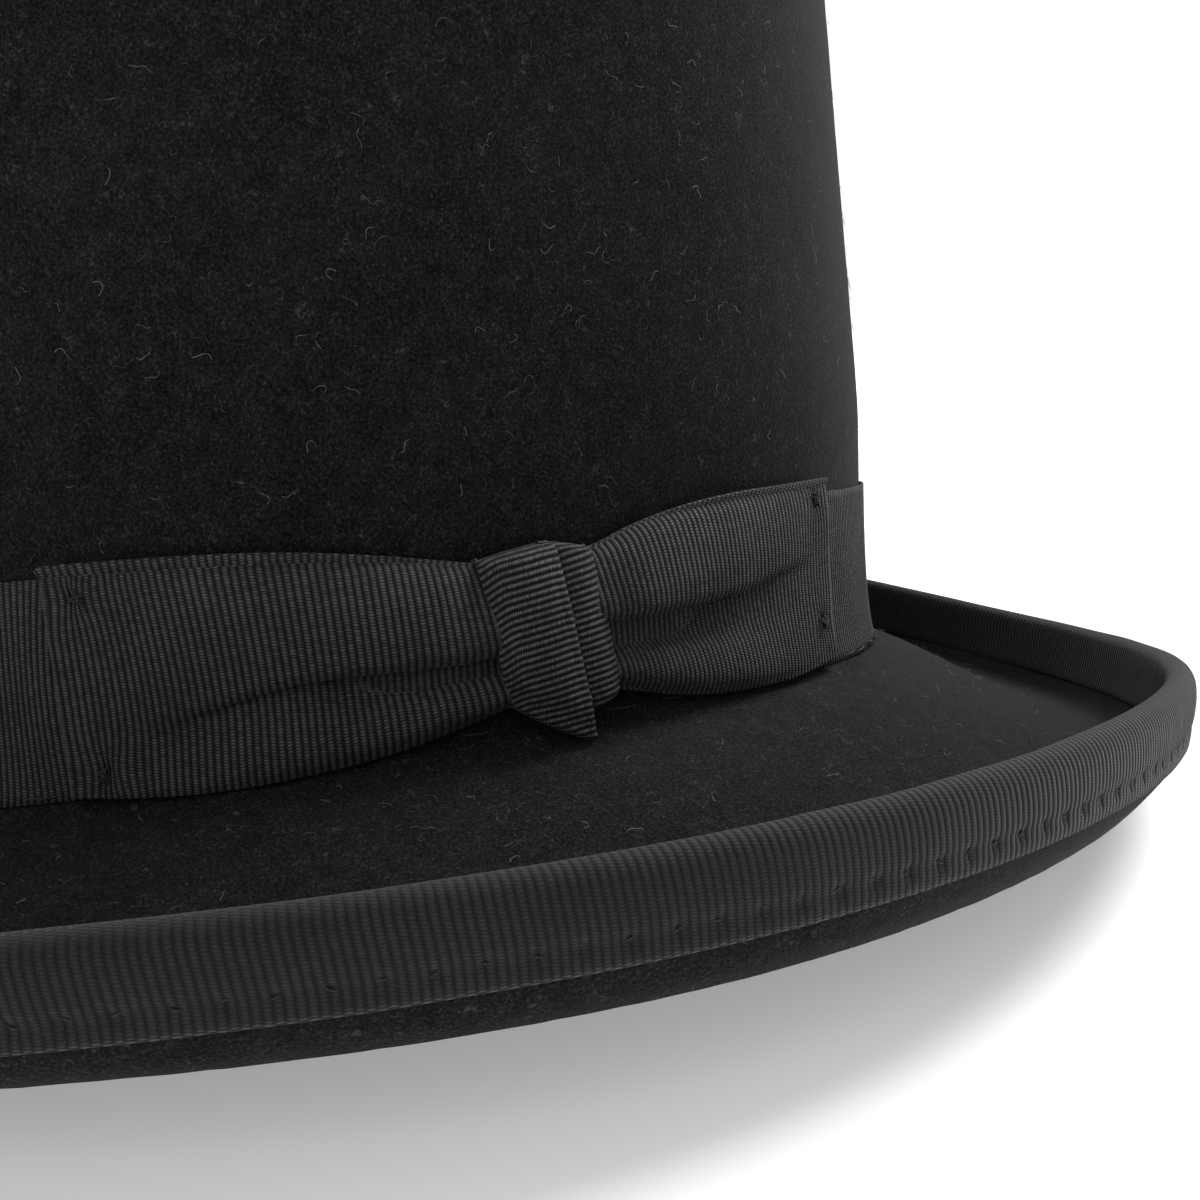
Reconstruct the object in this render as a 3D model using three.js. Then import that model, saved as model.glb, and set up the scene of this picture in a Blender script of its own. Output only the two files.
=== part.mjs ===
// A felt top hat: an oval crown, a dipped brim with a rolled edge bound in ribbon, a ribbon band with a flat
// bow on the wearer's left, and a leather sweatband and a satin lining inside.
// Millimetres, +Z up, front towards -Y, the wearer's left towards +X, standing on the brim at Z = 0.
import * as THREE from "three";

// ---- Driving dimensions ----
const HALF_WIDTH = 88.7; // of the crown's outer face where it meets the brim
const HALF_LENGTH = 105.5;
const CROWN_HEIGHT = 135; // above the joint at the sides
const CROWN_LEAN = 0.0175; // forward lean of the crown, mm per mm
const TIP_RADIUS = 4; // rounding between the crown's side and its flat tip
const CROWN_FELT = 2.6;
const BRIM_FELT = 3;
const JOINT_DIP = 10.5; // how much lower the joint is at front and back than at the sides
const JOINT_TILT = 1.8; // how much higher the joint is at the back than midway
const CURL_WIDTH = 10.5; // from the rim in to the lowest line of the brim
const FOOT_SLOPE = 0.65; // the brim's slope at the crown, as a share of its mean slope
const RIBBON = 0.6; // thickness of the grosgrain
const GAP = 0.3; // between pieces that touch
const BINDING_DEPTH = 11.9; // on each face of the rim
const BAND_BOTTOM = 1; // above the joint
const BAND_TOP = 30;
const BAND_TUCK = 0.9; // how far the band's edges keep below the bow's
const BOW_HALF_LENGTH = 65.5; // along the band
const BOW_SHIFT = -1.6; // of the bow's middle along the band, towards the front
const BOW_HALF_HEIGHT = 15.2; // at its outer ends
const BOW_PINCH = 8.8; // half its height at the knot
const BOW_RAISE = 1.6; // of the bow's middle line above the band's
const KNOT_HALF_WIDTH = 9.8;
const KNOT_BOTTOM = 1.4;
const KNOT_TOP = 27;
const BOW_THICKNESS = 2; // of the flat bow, both layers of its loop
const BOW_PUFF = 1.6; // how much further it stands out at the knot
const KNOT_THICKNESS = 1; // of the knot's pleated ribbon in front of the bow
const TACK_LENGTH = 4;
const TACK_INSET = 5; // of the corner stitches from the bow's ends
const SWEATBAND_TOP = 44;
const LEATHER = 1.2;
const SATIN = 0.5;
const REED_RADIUS = 1;
const THREAD_RADIUS = 0.3;
const BINDING_STITCH_UP = 2.4; // of the binding's stitching above its lower edge
const BAND_STITCH_UP = 0.8; // of the band's stitching above the joint
const LEATHER_STITCH_UP = 4.4; // of the sweatband's stitching above the joint
const AROUND = 56; // facets round the hat
const FLARE = 2.5; // how far the crown's foot flares out over the brim
const FLARE_HEIGHT = 8.5;
const FOOT = -1.8; // the upright part of the crown, out from its base oval
const UPRIGHT_TO = 43; // where the crown starts to taper
const TAPER = 0.075;

const BACK = Math.PI / 2; // the angle round the hat of its back; 0 is the wearer's left

// ---- Curves that follow the angle round the hat ----
const brimWidth = (a) => 56.4 + 1.6 * Math.cos(2 * a) + 1.1 * Math.cos(4 * a);
const rimHeight = (a) => -3.9 + 9.4 * Math.cos(2 * a) - 1.2 * Math.cos(4 * a);
const curlDepth = (a) => 15.6 + 2.1 * Math.cos(2 * a); // from the rim down to the brim's lowest line
const jointHeight = (a) => -JOINT_DIP * Math.sin(a) ** 2 + JOINT_TILT * Math.sin(a);

// ---- Places on the hat ----

// The point at an angle round the hat, a distance out from the crown's base oval, and a height.
function onHat(angle, out, height) {
  const nx = Math.cos(angle) / HALF_WIDTH;
  const ny = Math.sin(angle) / HALF_LENGTH;
  const size = Math.hypot(nx, ny);
  return new THREE.Vector3(
    HALF_WIDTH * Math.cos(angle) + (out * nx) / size,
    HALF_LENGTH * Math.sin(angle) + (out * ny) / size,
    height,
  );
}

// How far the crown's felt stands out from the base oval: a small flare, an upright foot, a straight taper.
function crownOut(up) {
  const flare = FLARE * Math.exp(-Math.max(up, 0) / FLARE_HEIGHT);
  return FOOT + flare - TAPER * Math.max(0, up - UPRIGHT_TO);
}

// The point a distance off the crown's outer face, at a height above the joint.
function onCrown(angle, up, off) {
  const height = up + jointHeight(angle) * (1 - up / CROWN_HEIGHT);
  const point = onHat(angle, crownOut(up) + off, height);
  point.y -= CROWN_LEAN * up;
  return point;
}

// The point a distance off the top of the crown's side, at a level height close under the tip.
function underTip(angle, height, off) {
  const point = onCrown(angle, CROWN_HEIGHT, off);
  return point.setZ(height);
}

const tipMiddle = (height) => new THREE.Vector3(0, -CROWN_LEAN * CROWN_HEIGHT, height);

// The angle reached after a distance along the crown's base from the middle of the bow.
function angleAfter(distance) {
  const steps = 60;
  let angle = BOW_SHIFT / HALF_LENGTH;
  for (let i = 0; i < steps; i++) {
    const pace = Math.hypot(HALF_WIDTH * Math.sin(angle), HALF_LENGTH * Math.cos(angle));
    angle += distance / steps / pace;
  }
  return angle;
}

// ---- Making solids ----

// A mesh from a loop of points carried through a closed round of stations: loopAt(station) gives the loop.
function carried(name, material, stations, loopAt) {
  const count = loopAt(0).length;
  const profile = Array.from({ length: count }, (_, i) => new THREE.Vector2(1, i));
  const geometry = new THREE.LatheGeometry(profile, stations);
  const place = geometry.attributes.position;
  for (let i = 0; i <= stations; i++) {
    const points = loopAt(i % stations);
    points.forEach((p, j) => place.setXYZ(i * count + j, p.x, p.y, p.z));
  }
  return named(name, geometry, material);
}

// The same, carried round the hat: loopAt(angle) gives the loop, its outer face first and downwards.
function swept(name, material, loopAt) {
  return carried(name, material, AROUND, (i) => loopAt((-2 * Math.PI * i) / AROUND));
}

// Moves every vertex of a geometry to move(x, y, z).
function bent(geometry, move) {
  const place = geometry.attributes.position;
  for (let i = 0; i < place.count; i++) {
    const p = move(place.getX(i), place.getY(i), place.getZ(i));
    place.setXYZ(i, p.x, p.y, p.z);
  }
  return geometry;
}

function named(name, geometry, material) {
  const mesh = new THREE.Mesh(geometry, material.clone());
  mesh.name = name;
  return mesh;
}

// A loop of points closed on its first one.
const closed = (points) => [...points, points[0]];

// The two sides of a sheet carried round the hat, between two distances off the crown.
function wallLoop(angle, heights, inner, outer) {
  const face = [...heights].reverse().map((up) => onCrown(angle, up, outer));
  const back = heights.map((up) => onCrown(angle, up, inner));
  return closed([...face, ...back]);
}

// A line of [out, height] points moved sideways by a distance, to its left as it runs.
function beside(line, distance) {
  return line.map((p, i) => {
    const a = line[Math.max(i - 1, 0)];
    const b = line[Math.min(i + 1, line.length - 1)];
    const length = Math.hypot(b[0] - a[0], b[1] - a[1]);
    return [
      p[0] - ((b[1] - a[1]) / length) * distance,
      p[1] + ((b[0] - a[0]) / length) * distance,
    ];
  });
}

// The section of a round thread or rod that runs round the crown.
function ringLoop(angle, up, off, radius, sides) {
  const corners = Array.from({ length: sides }, (_, i) => {
    const turn = (-2 * Math.PI * i) / sides;
    return onCrown(angle, up + radius * Math.sin(turn), off + radius * Math.cos(turn));
  });
  return closed(corners);
}

// ---- The felt ----

// The brim's upper face, from the joint's fillet out to the bottom of the rolled edge.
function brimTop(angle) {
  const joint = jointHeight(angle);
  const start = [4.4, joint - 1.2];
  const end = [brimWidth(angle) - CURL_WIDTH, rimHeight(angle) - curlDepth(angle)];
  const run = end[0] - start[0];
  const drop = end[1] - start[1];
  const steps = 5;
  return Array.from({ length: steps + 1 }, (_, i) => {
    const t = i / steps;
    const fall = t * t * (3 - 2 * t) + FOOT_SLOPE * t * (1 - t) * (1 - t);
    return [start[0] + run * t, start[1] + drop * fall];
  });
}

// The rolled edge: up the inner face, over the rim and down the outer face, to just below the binding.
function rimLine(angle) {
  const w = brimWidth(angle);
  const h = rimHeight(angle);
  return [
    [w - 3.6, h - BINDING_DEPTH],
    [w - 2.4, h - 6.5],
    [w - 1.8, h - 2.4],
    [w - 0.2, h - RIBBON - GAP],
    [w + 1.5, h - 2.4],
    [w + 1.7, h - 6.5],
    [w + 1, h - BINDING_DEPTH],
  ];
}

// The brim's under face, from below the binding in to the head opening.
function brimUnder(angle) {
  const w = brimWidth(angle);
  const low = rimHeight(angle) - curlDepth(angle) - BRIM_FELT;
  const outer = [
    [w - 2.2, low + 2.2],
    [w - 6, low + 0.4],
  ];
  return [...outer, ...beside(brimTop(angle), -BRIM_FELT).reverse()];
}

function feltBody() {
  const side = [CROWN_HEIGHT - TIP_RADIUS, 96, 70, 45, 18, 6, 2.5, 0.6];
  const inside = [2, 18, 45, 96, CROWN_HEIGHT - TIP_RADIUS - 1];
  const tipEdge = CROWN_HEIGHT - TIP_RADIUS * 0.3;
  const ceiling = CROWN_HEIGHT - CROWN_FELT;
  return swept("felt_body", FELT, (angle) => {
    const hat = ([out, height]) => onHat(angle, out, height);
    return [
      tipMiddle(CROWN_HEIGHT),
      underTip(angle, CROWN_HEIGHT, -TIP_RADIUS),
      onCrown(angle, tipEdge, -TIP_RADIUS * 0.3),
      ...side.map((up) => onCrown(angle, up, 0)),
      ...brimTop(angle).map(hat),
      hat([brimWidth(angle) - 6, rimHeight(angle) - curlDepth(angle) + 1.4]),
      ...rimLine(angle).map(hat),
      ...brimUnder(angle).map(hat),
      ...inside.map((up) => onCrown(angle, up, -CROWN_FELT)),
      underTip(angle, ceiling, -TIP_RADIUS - CROWN_FELT),
      tipMiddle(ceiling),
    ];
  });
}

// ---- Ribbon outside ----

function brimBinding() {
  return swept("brim_binding", GROSGRAIN, (angle) => {
    const inner = beside(rimLine(angle), GAP);
    const outer = beside(rimLine(angle), GAP + RIBBON);
    const loop = closed([...inner.reverse(), ...outer]);
    return loop.map(([out, height]) => onHat(angle, out, height));
  });
}

const threadOff = GAP + RIBBON + GAP + THREAD_RADIUS; // a thread's middle, off the felt under the ribbon

// The line of stitching near the lower edge of the binding's outer face.
function bindingThread() {
  const sides = 4;
  return swept("binding_thread", THREAD, (angle) => {
    const [above, edge] = beside(rimLine(angle), threadOff).slice(-2);
    const out = (edge[0] + above[0]) / 2;
    const height = edge[1] + BINDING_STITCH_UP;
    const corners = Array.from({ length: sides }, (_, i) => {
      const turn = (-2 * Math.PI * i) / sides;
      const x = out + THREAD_RADIUS * Math.cos(turn);
      return onHat(angle, x, height + THREAD_RADIUS * Math.sin(turn));
    });
    return closed(corners);
  });
}


// The running thread that holds the band's lower edge to the felt.
function bandThread() {
  return swept("band_thread", THREAD, (angle) =>
    ringLoop(angle, BAND_STITCH_UP, threadOff, THREAD_RADIUS, 4),
  );
}

// ---- The bow ----

const bowMiddle = (BAND_BOTTOM + BAND_TOP) / 2 + BOW_RAISE;
const bandFace = GAP + RIBBON + GAP; // where the bow starts, off the crown

// 0 at the knot and 1 at the bow's outer ends.
function spread(along) {
  const share = (Math.abs(along) - KNOT_HALF_WIDTH) / (BOW_HALF_LENGTH - KNOT_HALF_WIDTH);
  return THREE.MathUtils.smootherstep(share, 0, 0.85);
}

const bowHalfHeight = (along) => THREE.MathUtils.lerp(BOW_PINCH, BOW_HALF_HEIGHT, spread(along));

// The distance along the band from the bow's middle to an angle round the hat.
function distanceAt(angle) {
  const turned = Math.atan2(Math.sin(angle), Math.cos(angle));
  const steps = 60;
  const step = turned / steps;
  let distance = -BOW_SHIFT;
  for (let i = 0; i < steps; i += 1) {
    const at = (i + 0.5) * step;
    distance += step * Math.hypot(HALF_WIDTH * Math.sin(at), HALF_LENGTH * Math.cos(at));
  }
  return distance;
}

// The ribbon round the crown, gathered behind the bow so that it doesn't show above or below it.
function hatBand() {
  return swept("hat_band", GROSGRAIN, (angle) => {
    const half = bowHalfHeight(distanceAt(angle));
    const bottom = Math.max(BAND_BOTTOM, bowMiddle - half - BAND_TUCK);
    const top = Math.min(BAND_TOP, bowMiddle + half - BAND_TUCK);
    const heights = [0, 0.07, 0.25, 0.6, 1].map((t) => bottom + (top - bottom) * t);
    return wallLoop(angle, heights, GAP, GAP + RIBBON);
  });
}

// The bow's layers, off the crown: the back one is lifted over the knot's ribbon, the front one puffs out.
const bowBack = (along) => bandFace + (1 - spread(along)) * (RIBBON + GAP);
const bowFront = (along) => bandFace + BOW_THICKNESS + BOW_PUFF * (1 - spread(along));

// The outline of the bow's flat loop of ribbon seen from above: [along the band, off the crown].
function loopOutline(reach, inset) {
  const steps = 22;
  const along = Array.from({ length: steps + 1 }, (_, i) => reach * ((2 * i) / steps - 1));
  const back = along.map((x) => [x, bowBack(x) + inset]);
  const front = along.map((x) => [x, bowFront(x) - inset]).reverse();
  return [...back, ...front];
}

// From one edge of a ribbon to the other, as -1 to 1.
const acrossRibbon = [-1, -0.6, -0.2, 0.2, 0.6, 1];

function bowLoop() {
  const outer = loopOutline(BOW_HALF_LENGTH, 0);
  const inner = loopOutline(BOW_HALF_LENGTH - RIBBON, RIBBON);
  const place = ([along, off], across) =>
    onCrown(angleAfter(along), bowMiddle + across * bowHalfHeight(along), off);
  return carried("bow_loop", GROSGRAIN, outer.length, (i) => {
    const face = acrossRibbon.map((across) => place(outer[i], -across));
    const back = acrossRibbon.map((across) => place(inner[i], across));
    return closed([...face, ...back]);
  });
}

// The short ribbon wrapped round the bow's middle, as a ring of [up, off] corners.
function knotRing(bottom, top, near, far) {
  const corner = 0.8;
  const behind = [0, 0.12, 0.35, 0.65, 1].map((t) => [bottom + (top - bottom) * t, near]);
  const upper = top - corner * 2;
  const lower = bottom + corner * 2;
  const before = [0, 0.5, 1].map((t) => [upper + (lower - upper) * t, far]);
  return [...behind, [top, far - corner], ...before, [bottom, far - corner]];
}

function bowKnot() {
  const far = bowFront(0) + GAP + RIBBON + KNOT_THICKNESS;
  const outer = knotRing(KNOT_BOTTOM, KNOT_TOP, bandFace, far);
  const inner = knotRing(KNOT_BOTTOM + RIBBON, KNOT_TOP - RIBBON, bandFace + RIBBON, far - RIBBON);
  const place = ([up, off], across) => onCrown(angleAfter(across * KNOT_HALF_WIDTH), up, off);
  return carried("bow_knot", GROSGRAIN, outer.length, (i) => {
    const face = acrossRibbon.map((across) => place(outer[i], across));
    const back = acrossRibbon.map((across) => place(inner[i], -across));
    return closed([...face, ...back]);
  });
}

// Short stitches that hold the bow's four corners to the band.
function bowTacks() {
  const group = new THREE.Group();
  const off = bowFront(BOW_HALF_LENGTH) + GAP + THREAD_RADIUS;
  const ends = { front: -1, back: 1 };
  const edges = { bottom: -1, top: 1 };
  for (const [end, way] of Object.entries(ends))
    for (const [edge, rise] of Object.entries(edges)) {
      const bar = new THREE.CylinderGeometry(THREAD_RADIUS, THREAD_RADIUS, TACK_LENGTH, 6);
      const along = way * (BOW_HALF_LENGTH - TACK_INSET);
      const up = bowMiddle + rise * (BOW_HALF_HEIGHT - TACK_LENGTH);
      const place = (x, y, z) => onCrown(angleAfter(along + x), up + y, off + z);
      group.add(named(`bow_tack_${end}_${edge}`, bent(bar, place), THREAD));
    }
  return group;
}

// ---- Inside the crown ----

const wall = -CROWN_FELT - GAP; // the lining's outer face, off the crown
const leatherFace = wall - SATIN - GAP; // the sweatband's outer face

function liningSide() {
  const heights = [16, 30, SWEATBAND_TOP, 96, CROWN_HEIGHT - TIP_RADIUS - 4];
  return swept("lining_side", SATIN_CLOTH, (angle) => wallLoop(angle, heights, wall - SATIN, wall));
}

function liningTip() {
  const top = CROWN_HEIGHT - CROWN_FELT - GAP;
  const off = wall - TIP_RADIUS - 2;
  return swept("lining_tip", SATIN_CLOTH, (angle) => [
    tipMiddle(top),
    underTip(angle, top, off),
    underTip(angle, top - SATIN, off),
    tipMiddle(top - SATIN),
  ]);
}

function sweatband() {
  const heights = [2.4, 16, 30, SWEATBAND_TOP];
  const face = leatherFace;
  return swept("sweatband", LEATHER_SKIN, (angle) => wallLoop(angle, heights, face - LEATHER, face));
}

const reedOff = leatherFace - LEATHER / 2;

function sweatbandReed() {
  return swept("sweatband_reed", REED, (angle) => ringLoop(angle, 0, reedOff, REED_RADIUS, 5));
}

// The tape round the reed: up the felt side, under the reed, and up to the leather's edge.
function reedTape() {
  const near = REED_RADIUS + GAP;
  const far = near + RIBBON / 2;
  const turns = [20, -35, -90, -145];
  const corner = (angle, reach) => (degrees) => {
    const turn = THREE.MathUtils.degToRad(degrees);
    return onCrown(angle, reach * Math.sin(turn), reedOff + reach * Math.cos(turn));
  };
  return swept("reed_tape", TAPE, (angle) => {
    const outer = turns.map(corner(angle, far));
    const inner = turns.map(corner(angle, near)).reverse();
    return closed([...inner, ...outer]);
  });
}

function sweatbandThread() {
  const off = leatherFace - LEATHER - GAP - THREAD_RADIUS;
  return swept("sweatband_thread", THREAD, (angle) =>
    ringLoop(angle, LEATHER_STITCH_UP, off, THREAD_RADIUS, 4),
  );
}

// A block on the sweatband's inner face at the back: half its width, its bottom and top, and its two faces.
function backBlock(name, material, halfWidth, bottom, top, near, far, narrow) {
  const block = new THREE.BoxGeometry(2, 1, 1, 6, 4, 1);
  const place = (x, y, z) => {
    const half = (top - bottom) / 2;
    const pinch = THREE.MathUtils.lerp(narrow, 1, Math.abs(x));
    const up = bottom + half + 2 * y * half * pinch;
    const off = leatherFace - LEATHER - (z > 0 ? near : far);
    return onCrown(BACK + (x * halfWidth) / HALF_WIDTH, up, off);
  };
  return named(name, bent(block, place), material);
}

function sweatbandBack() {
  const group = new THREE.Group();
  const bowFace = GAP + LEATHER / 2 + GAP;
  group.add(
    backBlock("sweatband_seam_patch", LEATHER_SKIN, 6, 8, 40, GAP, bowFace - GAP, 1),
    backBlock("sweatband_bow", GROSGRAIN, 11, 9, 17, bowFace, bowFace + 1.2, 0.6),
    backBlock("sweatband_bow_knot", GROSGRAIN, 2, 9.6, 16.4, bowFace + 1.5, bowFace + 2.1, 1),
  );
  return group;
}

// ---- Materials ----
const finish = (color, roughness) => new THREE.MeshStandardMaterial({ color, roughness, metalness: 0 });
const FELT = finish(0x131414, 0.95);
const GROSGRAIN = finish(0x191919, 0.8);
const THREAD = finish(0x101010, 0.7);
const SATIN_CLOTH = finish(0x151517, 0.4);
const LEATHER_SKIN = finish(0x1c1a18, 0.55);
const REED = finish(0xb9b09a, 0.5);
const TAPE = finish(0x26241f, 0.8);

// ---- Assembly ----
const hat = new THREE.Group();
hat.add(
  feltBody(),
  brimBinding(),
  bindingThread(),
  hatBand(),
  bandThread(),
  bowLoop(),
  bowKnot(),
  bowTacks(),
  liningSide(),
  liningTip(),
  sweatband(),
  sweatbandReed(),
  reedTape(),
  sweatbandThread(),
  sweatbandBack(),
);
hat.position.z = -Math.min(...brimUnder(BACK).map(([, height]) => height));

const part = new THREE.Group();
part.add(hat);
export default part;
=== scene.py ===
import math

import bpy
import numpy as np
from mathutils import Matrix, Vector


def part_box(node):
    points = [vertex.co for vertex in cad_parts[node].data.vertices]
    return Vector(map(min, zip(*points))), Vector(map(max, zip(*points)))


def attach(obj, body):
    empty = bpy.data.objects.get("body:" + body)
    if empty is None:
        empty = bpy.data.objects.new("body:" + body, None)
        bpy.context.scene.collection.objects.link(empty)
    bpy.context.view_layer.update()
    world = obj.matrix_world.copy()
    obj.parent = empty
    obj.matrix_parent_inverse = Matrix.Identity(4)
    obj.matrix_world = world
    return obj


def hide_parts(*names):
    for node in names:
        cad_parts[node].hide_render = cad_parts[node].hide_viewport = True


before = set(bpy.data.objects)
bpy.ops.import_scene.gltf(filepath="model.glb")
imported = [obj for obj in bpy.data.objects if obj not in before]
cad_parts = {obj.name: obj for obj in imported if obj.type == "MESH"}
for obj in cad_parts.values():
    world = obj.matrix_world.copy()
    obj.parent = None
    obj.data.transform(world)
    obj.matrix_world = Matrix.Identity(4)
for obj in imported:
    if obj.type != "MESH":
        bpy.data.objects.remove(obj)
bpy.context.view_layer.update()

# A felt top hat. Lengths are in millimetres until a mesh is made, and angles go round the hat from the
# wearer's left (+X) through the back (+Y). "up" is a height above the joint of crown and brim, "off" a
# distance off the crown's outer face, "along" a distance along the band from the bow's knot.
MM = 0.001
TURN = 2 * math.pi

# ---- The part's own sizes ----
HALF_WIDTH = 88.7
HALF_LENGTH = 105.5
CROWN_HEIGHT = 135.0
CROWN_LEAN = 0.0175
TIP_RADIUS = 4.0
CROWN_FELT = 2.6
BRIM_FELT = 3.0
JOINT_DIP = 10.5
JOINT_TILT = 1.8
CURL_WIDTH = 10.5
FOOT_SLOPE = 0.65
RIBBON = 0.6
GAP = 0.3
BINDING_DEPTH = 11.9
BAND_BOTTOM = 1.0
BAND_TOP = 30.0
BOW_SHIFT = -1.6
SWEATBAND_TOP = 44.0
FLARE = 2.5
FLARE_HEIGHT = 8.5
FOOT = -1.8
UPRIGHT_TO = 43.0
TAPER = 0.075
WALL = -CROWN_FELT - GAP  # the lining's outer face
LEATHER_FACE = WALL - 0.5 - GAP  # the sweatband's outer face
LEATHER = 1.2
BAND_FACE = GAP + RIBBON + GAP  # where the bow starts
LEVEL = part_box("felt_body")[1].z / MM - CROWN_HEIGHT  # the height of the joint at the sides

# ---- Weave ----
RIB = 1.0  # from rib to rib of the band's grosgrain
KNOT_RIB = 0.95
BINDING_RIB = 1.12
BEAD = 0.38  # from warp yarn to warp yarn
BINDING_FOLD = 12.9  # where the binding folds over the rim, across its ribbon
RIB_STEPS = 4  # mesh columns to a rib


# ================================================================ curves and places

def smooth_through(stations, values, at):
    """The smooth curve through values (first axis) at rising stations, read at other stations."""
    s, v, x = np.asarray(stations, float), np.asarray(values, float), np.asarray(at, float)
    spread = (slice(None),) + (None,) * (v.ndim - 1)
    step = np.diff(s)[spread]
    slope = np.diff(v, axis=0) / step
    tangent = np.concatenate([slope[:1], slope, slope[-1:]])[:len(v)]
    tangent[1:-1] = (slope[:-1] * step[1:] + slope[1:] * step[:-1]) / (step[:-1] + step[1:])
    tangent[-1] = slope[-1]
    k = np.clip(np.searchsorted(s, x) - 1, 0, len(s) - 2)
    h = step[k]
    t = ((x - s[k]) / np.diff(s)[k])[spread]
    a, b = v[k], v[k + 1]
    da, db = tangent[k] * h, tangent[k + 1] * h
    return (2 * t**3 - 3 * t**2 + 1) * a + (t**3 - 2 * t**2 + t) * da \
        + (3 * t**2 - 2 * t**3) * b + (t**3 - t**2) * db


def smoothstep(x, low=0.0, high=1.0):
    """A smooth rise from 0 at low to 1 at high."""
    t = np.clip((np.asarray(x, float) - low) / (high - low), 0, 1)
    return t * t * (3 - 2 * t)


def mix(a, b, t):
    """From a at t = 0 to b at t = 1."""
    return a + (b - a) * t


def hill(x, width):
    """A smooth hill, 1 where x is 0."""
    return np.exp(-(x / width) ** 2)


class Noise:
    """Smooth repeatable noise from -1 to 1 at points of one to three coordinates."""

    def __init__(self, seed, size=48):
        self.size = size
        self.grid = np.random.RandomState(seed).rand(size, size, size) * 2 - 1

    def __call__(self, *coordinates):
        parts = list(np.broadcast_arrays(*[np.asarray(c, float) for c in coordinates]))
        while len(parts) < 3:
            parts.append(np.zeros_like(parts[0]) + 0.5)
        low = [np.floor(p).astype(int) for p in parts]
        t = [p - i for p, i in zip(parts, low)]
        t = [x * x * (3 - 2 * x) for x in t]
        total = 0
        for corner in range(8):
            way = [(corner >> k) & 1 for k in range(3)]
            weight = 1
            for k in range(3):
                weight = weight * (t[k] if way[k] else 1 - t[k])
            i, j, k = [(low[n] + way[n]) % self.size for n in range(3)]
            total = total + weight * self.grid[i, j, k]
        return total


def on_hat(angle, out, height):
    """Points at angles round the hat, distances out from the crown's base oval, and heights."""
    nx, ny = np.cos(angle) / HALF_WIDTH, np.sin(angle) / HALF_LENGTH
    size = np.hypot(nx, ny)
    x = HALF_WIDTH * np.cos(angle) + out * nx / size
    y = HALF_LENGTH * np.sin(angle) + out * ny / size
    return np.stack(np.broadcast_arrays(x, y, height + LEVEL), -1)


def joint_height(angle):
    """How the joint of crown and brim rises and falls round the hat."""
    return -JOINT_DIP * np.sin(angle) ** 2 + JOINT_TILT * np.sin(angle)


def crown_out(up):
    """The crown's outer face at a height: flared foot, upright part, taper to the tip."""
    flare = FLARE * np.exp(-np.maximum(up, 0) / FLARE_HEIGHT)
    return FOOT + flare - TAPER * np.maximum(0, up - UPRIGHT_TO)


def on_crown(angle, up, off):
    """Points at angles, heights above the joint and distances off the crown's outer face."""
    height = up + joint_height(angle) * (1 - up / CROWN_HEIGHT)
    points = on_hat(angle, crown_out(up) + off, height)
    points[..., 1] -= CROWN_LEAN * up
    return points


def brim_width(angle):
    """From the base oval out to the middle of the rim."""
    return 56.4 + 1.6 * np.cos(2 * angle) + 1.1 * np.cos(4 * angle)


def rim_height(angle):
    """Of the rim's top, above the joint."""
    return -3.9 + 9.4 * np.cos(2 * angle) - 1.2 * np.cos(4 * angle)


def curl_depth(angle):
    """From the rim's top down to the bottom of the curl."""
    return 15.6 + 2.1 * np.cos(2 * angle)


def arc_table(radius_x, radius_y):
    """Angles and the distance run along an oval to each of them."""
    angles = np.linspace(0, TURN, 7201)
    pace = np.hypot(radius_x * np.sin(angles), radius_y * np.cos(angles))
    run = np.concatenate([[0], np.cumsum((pace[1:] + pace[:-1]) / 2 * np.diff(angles))])
    return angles, run


BASE_ANGLES, BASE_RUN = arc_table(HALF_WIDTH, HALF_LENGTH)
BASE_ROUND = BASE_RUN[-1]


def even_angles(count, radius_x=HALF_WIDTH, radius_y=HALF_LENGTH):
    """Angles an even distance apart round an oval."""
    angles, run = arc_table(radius_x, radius_y)
    return np.interp(np.arange(count) * run[-1] / count, run, angles)


def angle_at(along):
    """The angle reached after a distance along the band from the bow's knot."""
    run = (np.asarray(along, float) + BOW_SHIFT) % BASE_ROUND
    angle = np.interp(run, BASE_RUN, BASE_ANGLES)
    return np.where(angle > math.pi, angle - TURN, angle)


# ================================================================ meshes

def surface_normals(grid, part=slice(None)):
    """Unit normals of a ring of loops. Over the given part of it they point away from the hat's axis."""
    du = np.roll(grid, -1, 0) - np.roll(grid, 1, 0)
    dv = np.gradient(grid, axis=1)
    normal = np.cross(du, dv)
    normal /= np.maximum(np.linalg.norm(normal, axis=-1, keepdims=True), 1e-9)
    return normal if (normal[part] * grid[part] * [1, 1, 0]).sum() > 0 else -normal


def distance_run(points):
    """The distance run along a line of points, from 0 at its start."""
    return np.concatenate([[0], np.cumsum(np.linalg.norm(np.diff(points, axis=0), axis=-1))])


def mean_run(rows):
    """The distance run across rows of points (rows, columns, 3), the mean of all columns."""
    return np.concatenate([[0], np.cumsum(np.linalg.norm(np.diff(rows, axis=0), axis=-1).mean(1))])


def round_run(columns):
    """Cloth coordinates round the crown, with one more than the columns."""
    return np.append(np.linspace(0, BASE_ROUND, columns, endpoint=False), BASE_ROUND)


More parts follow.
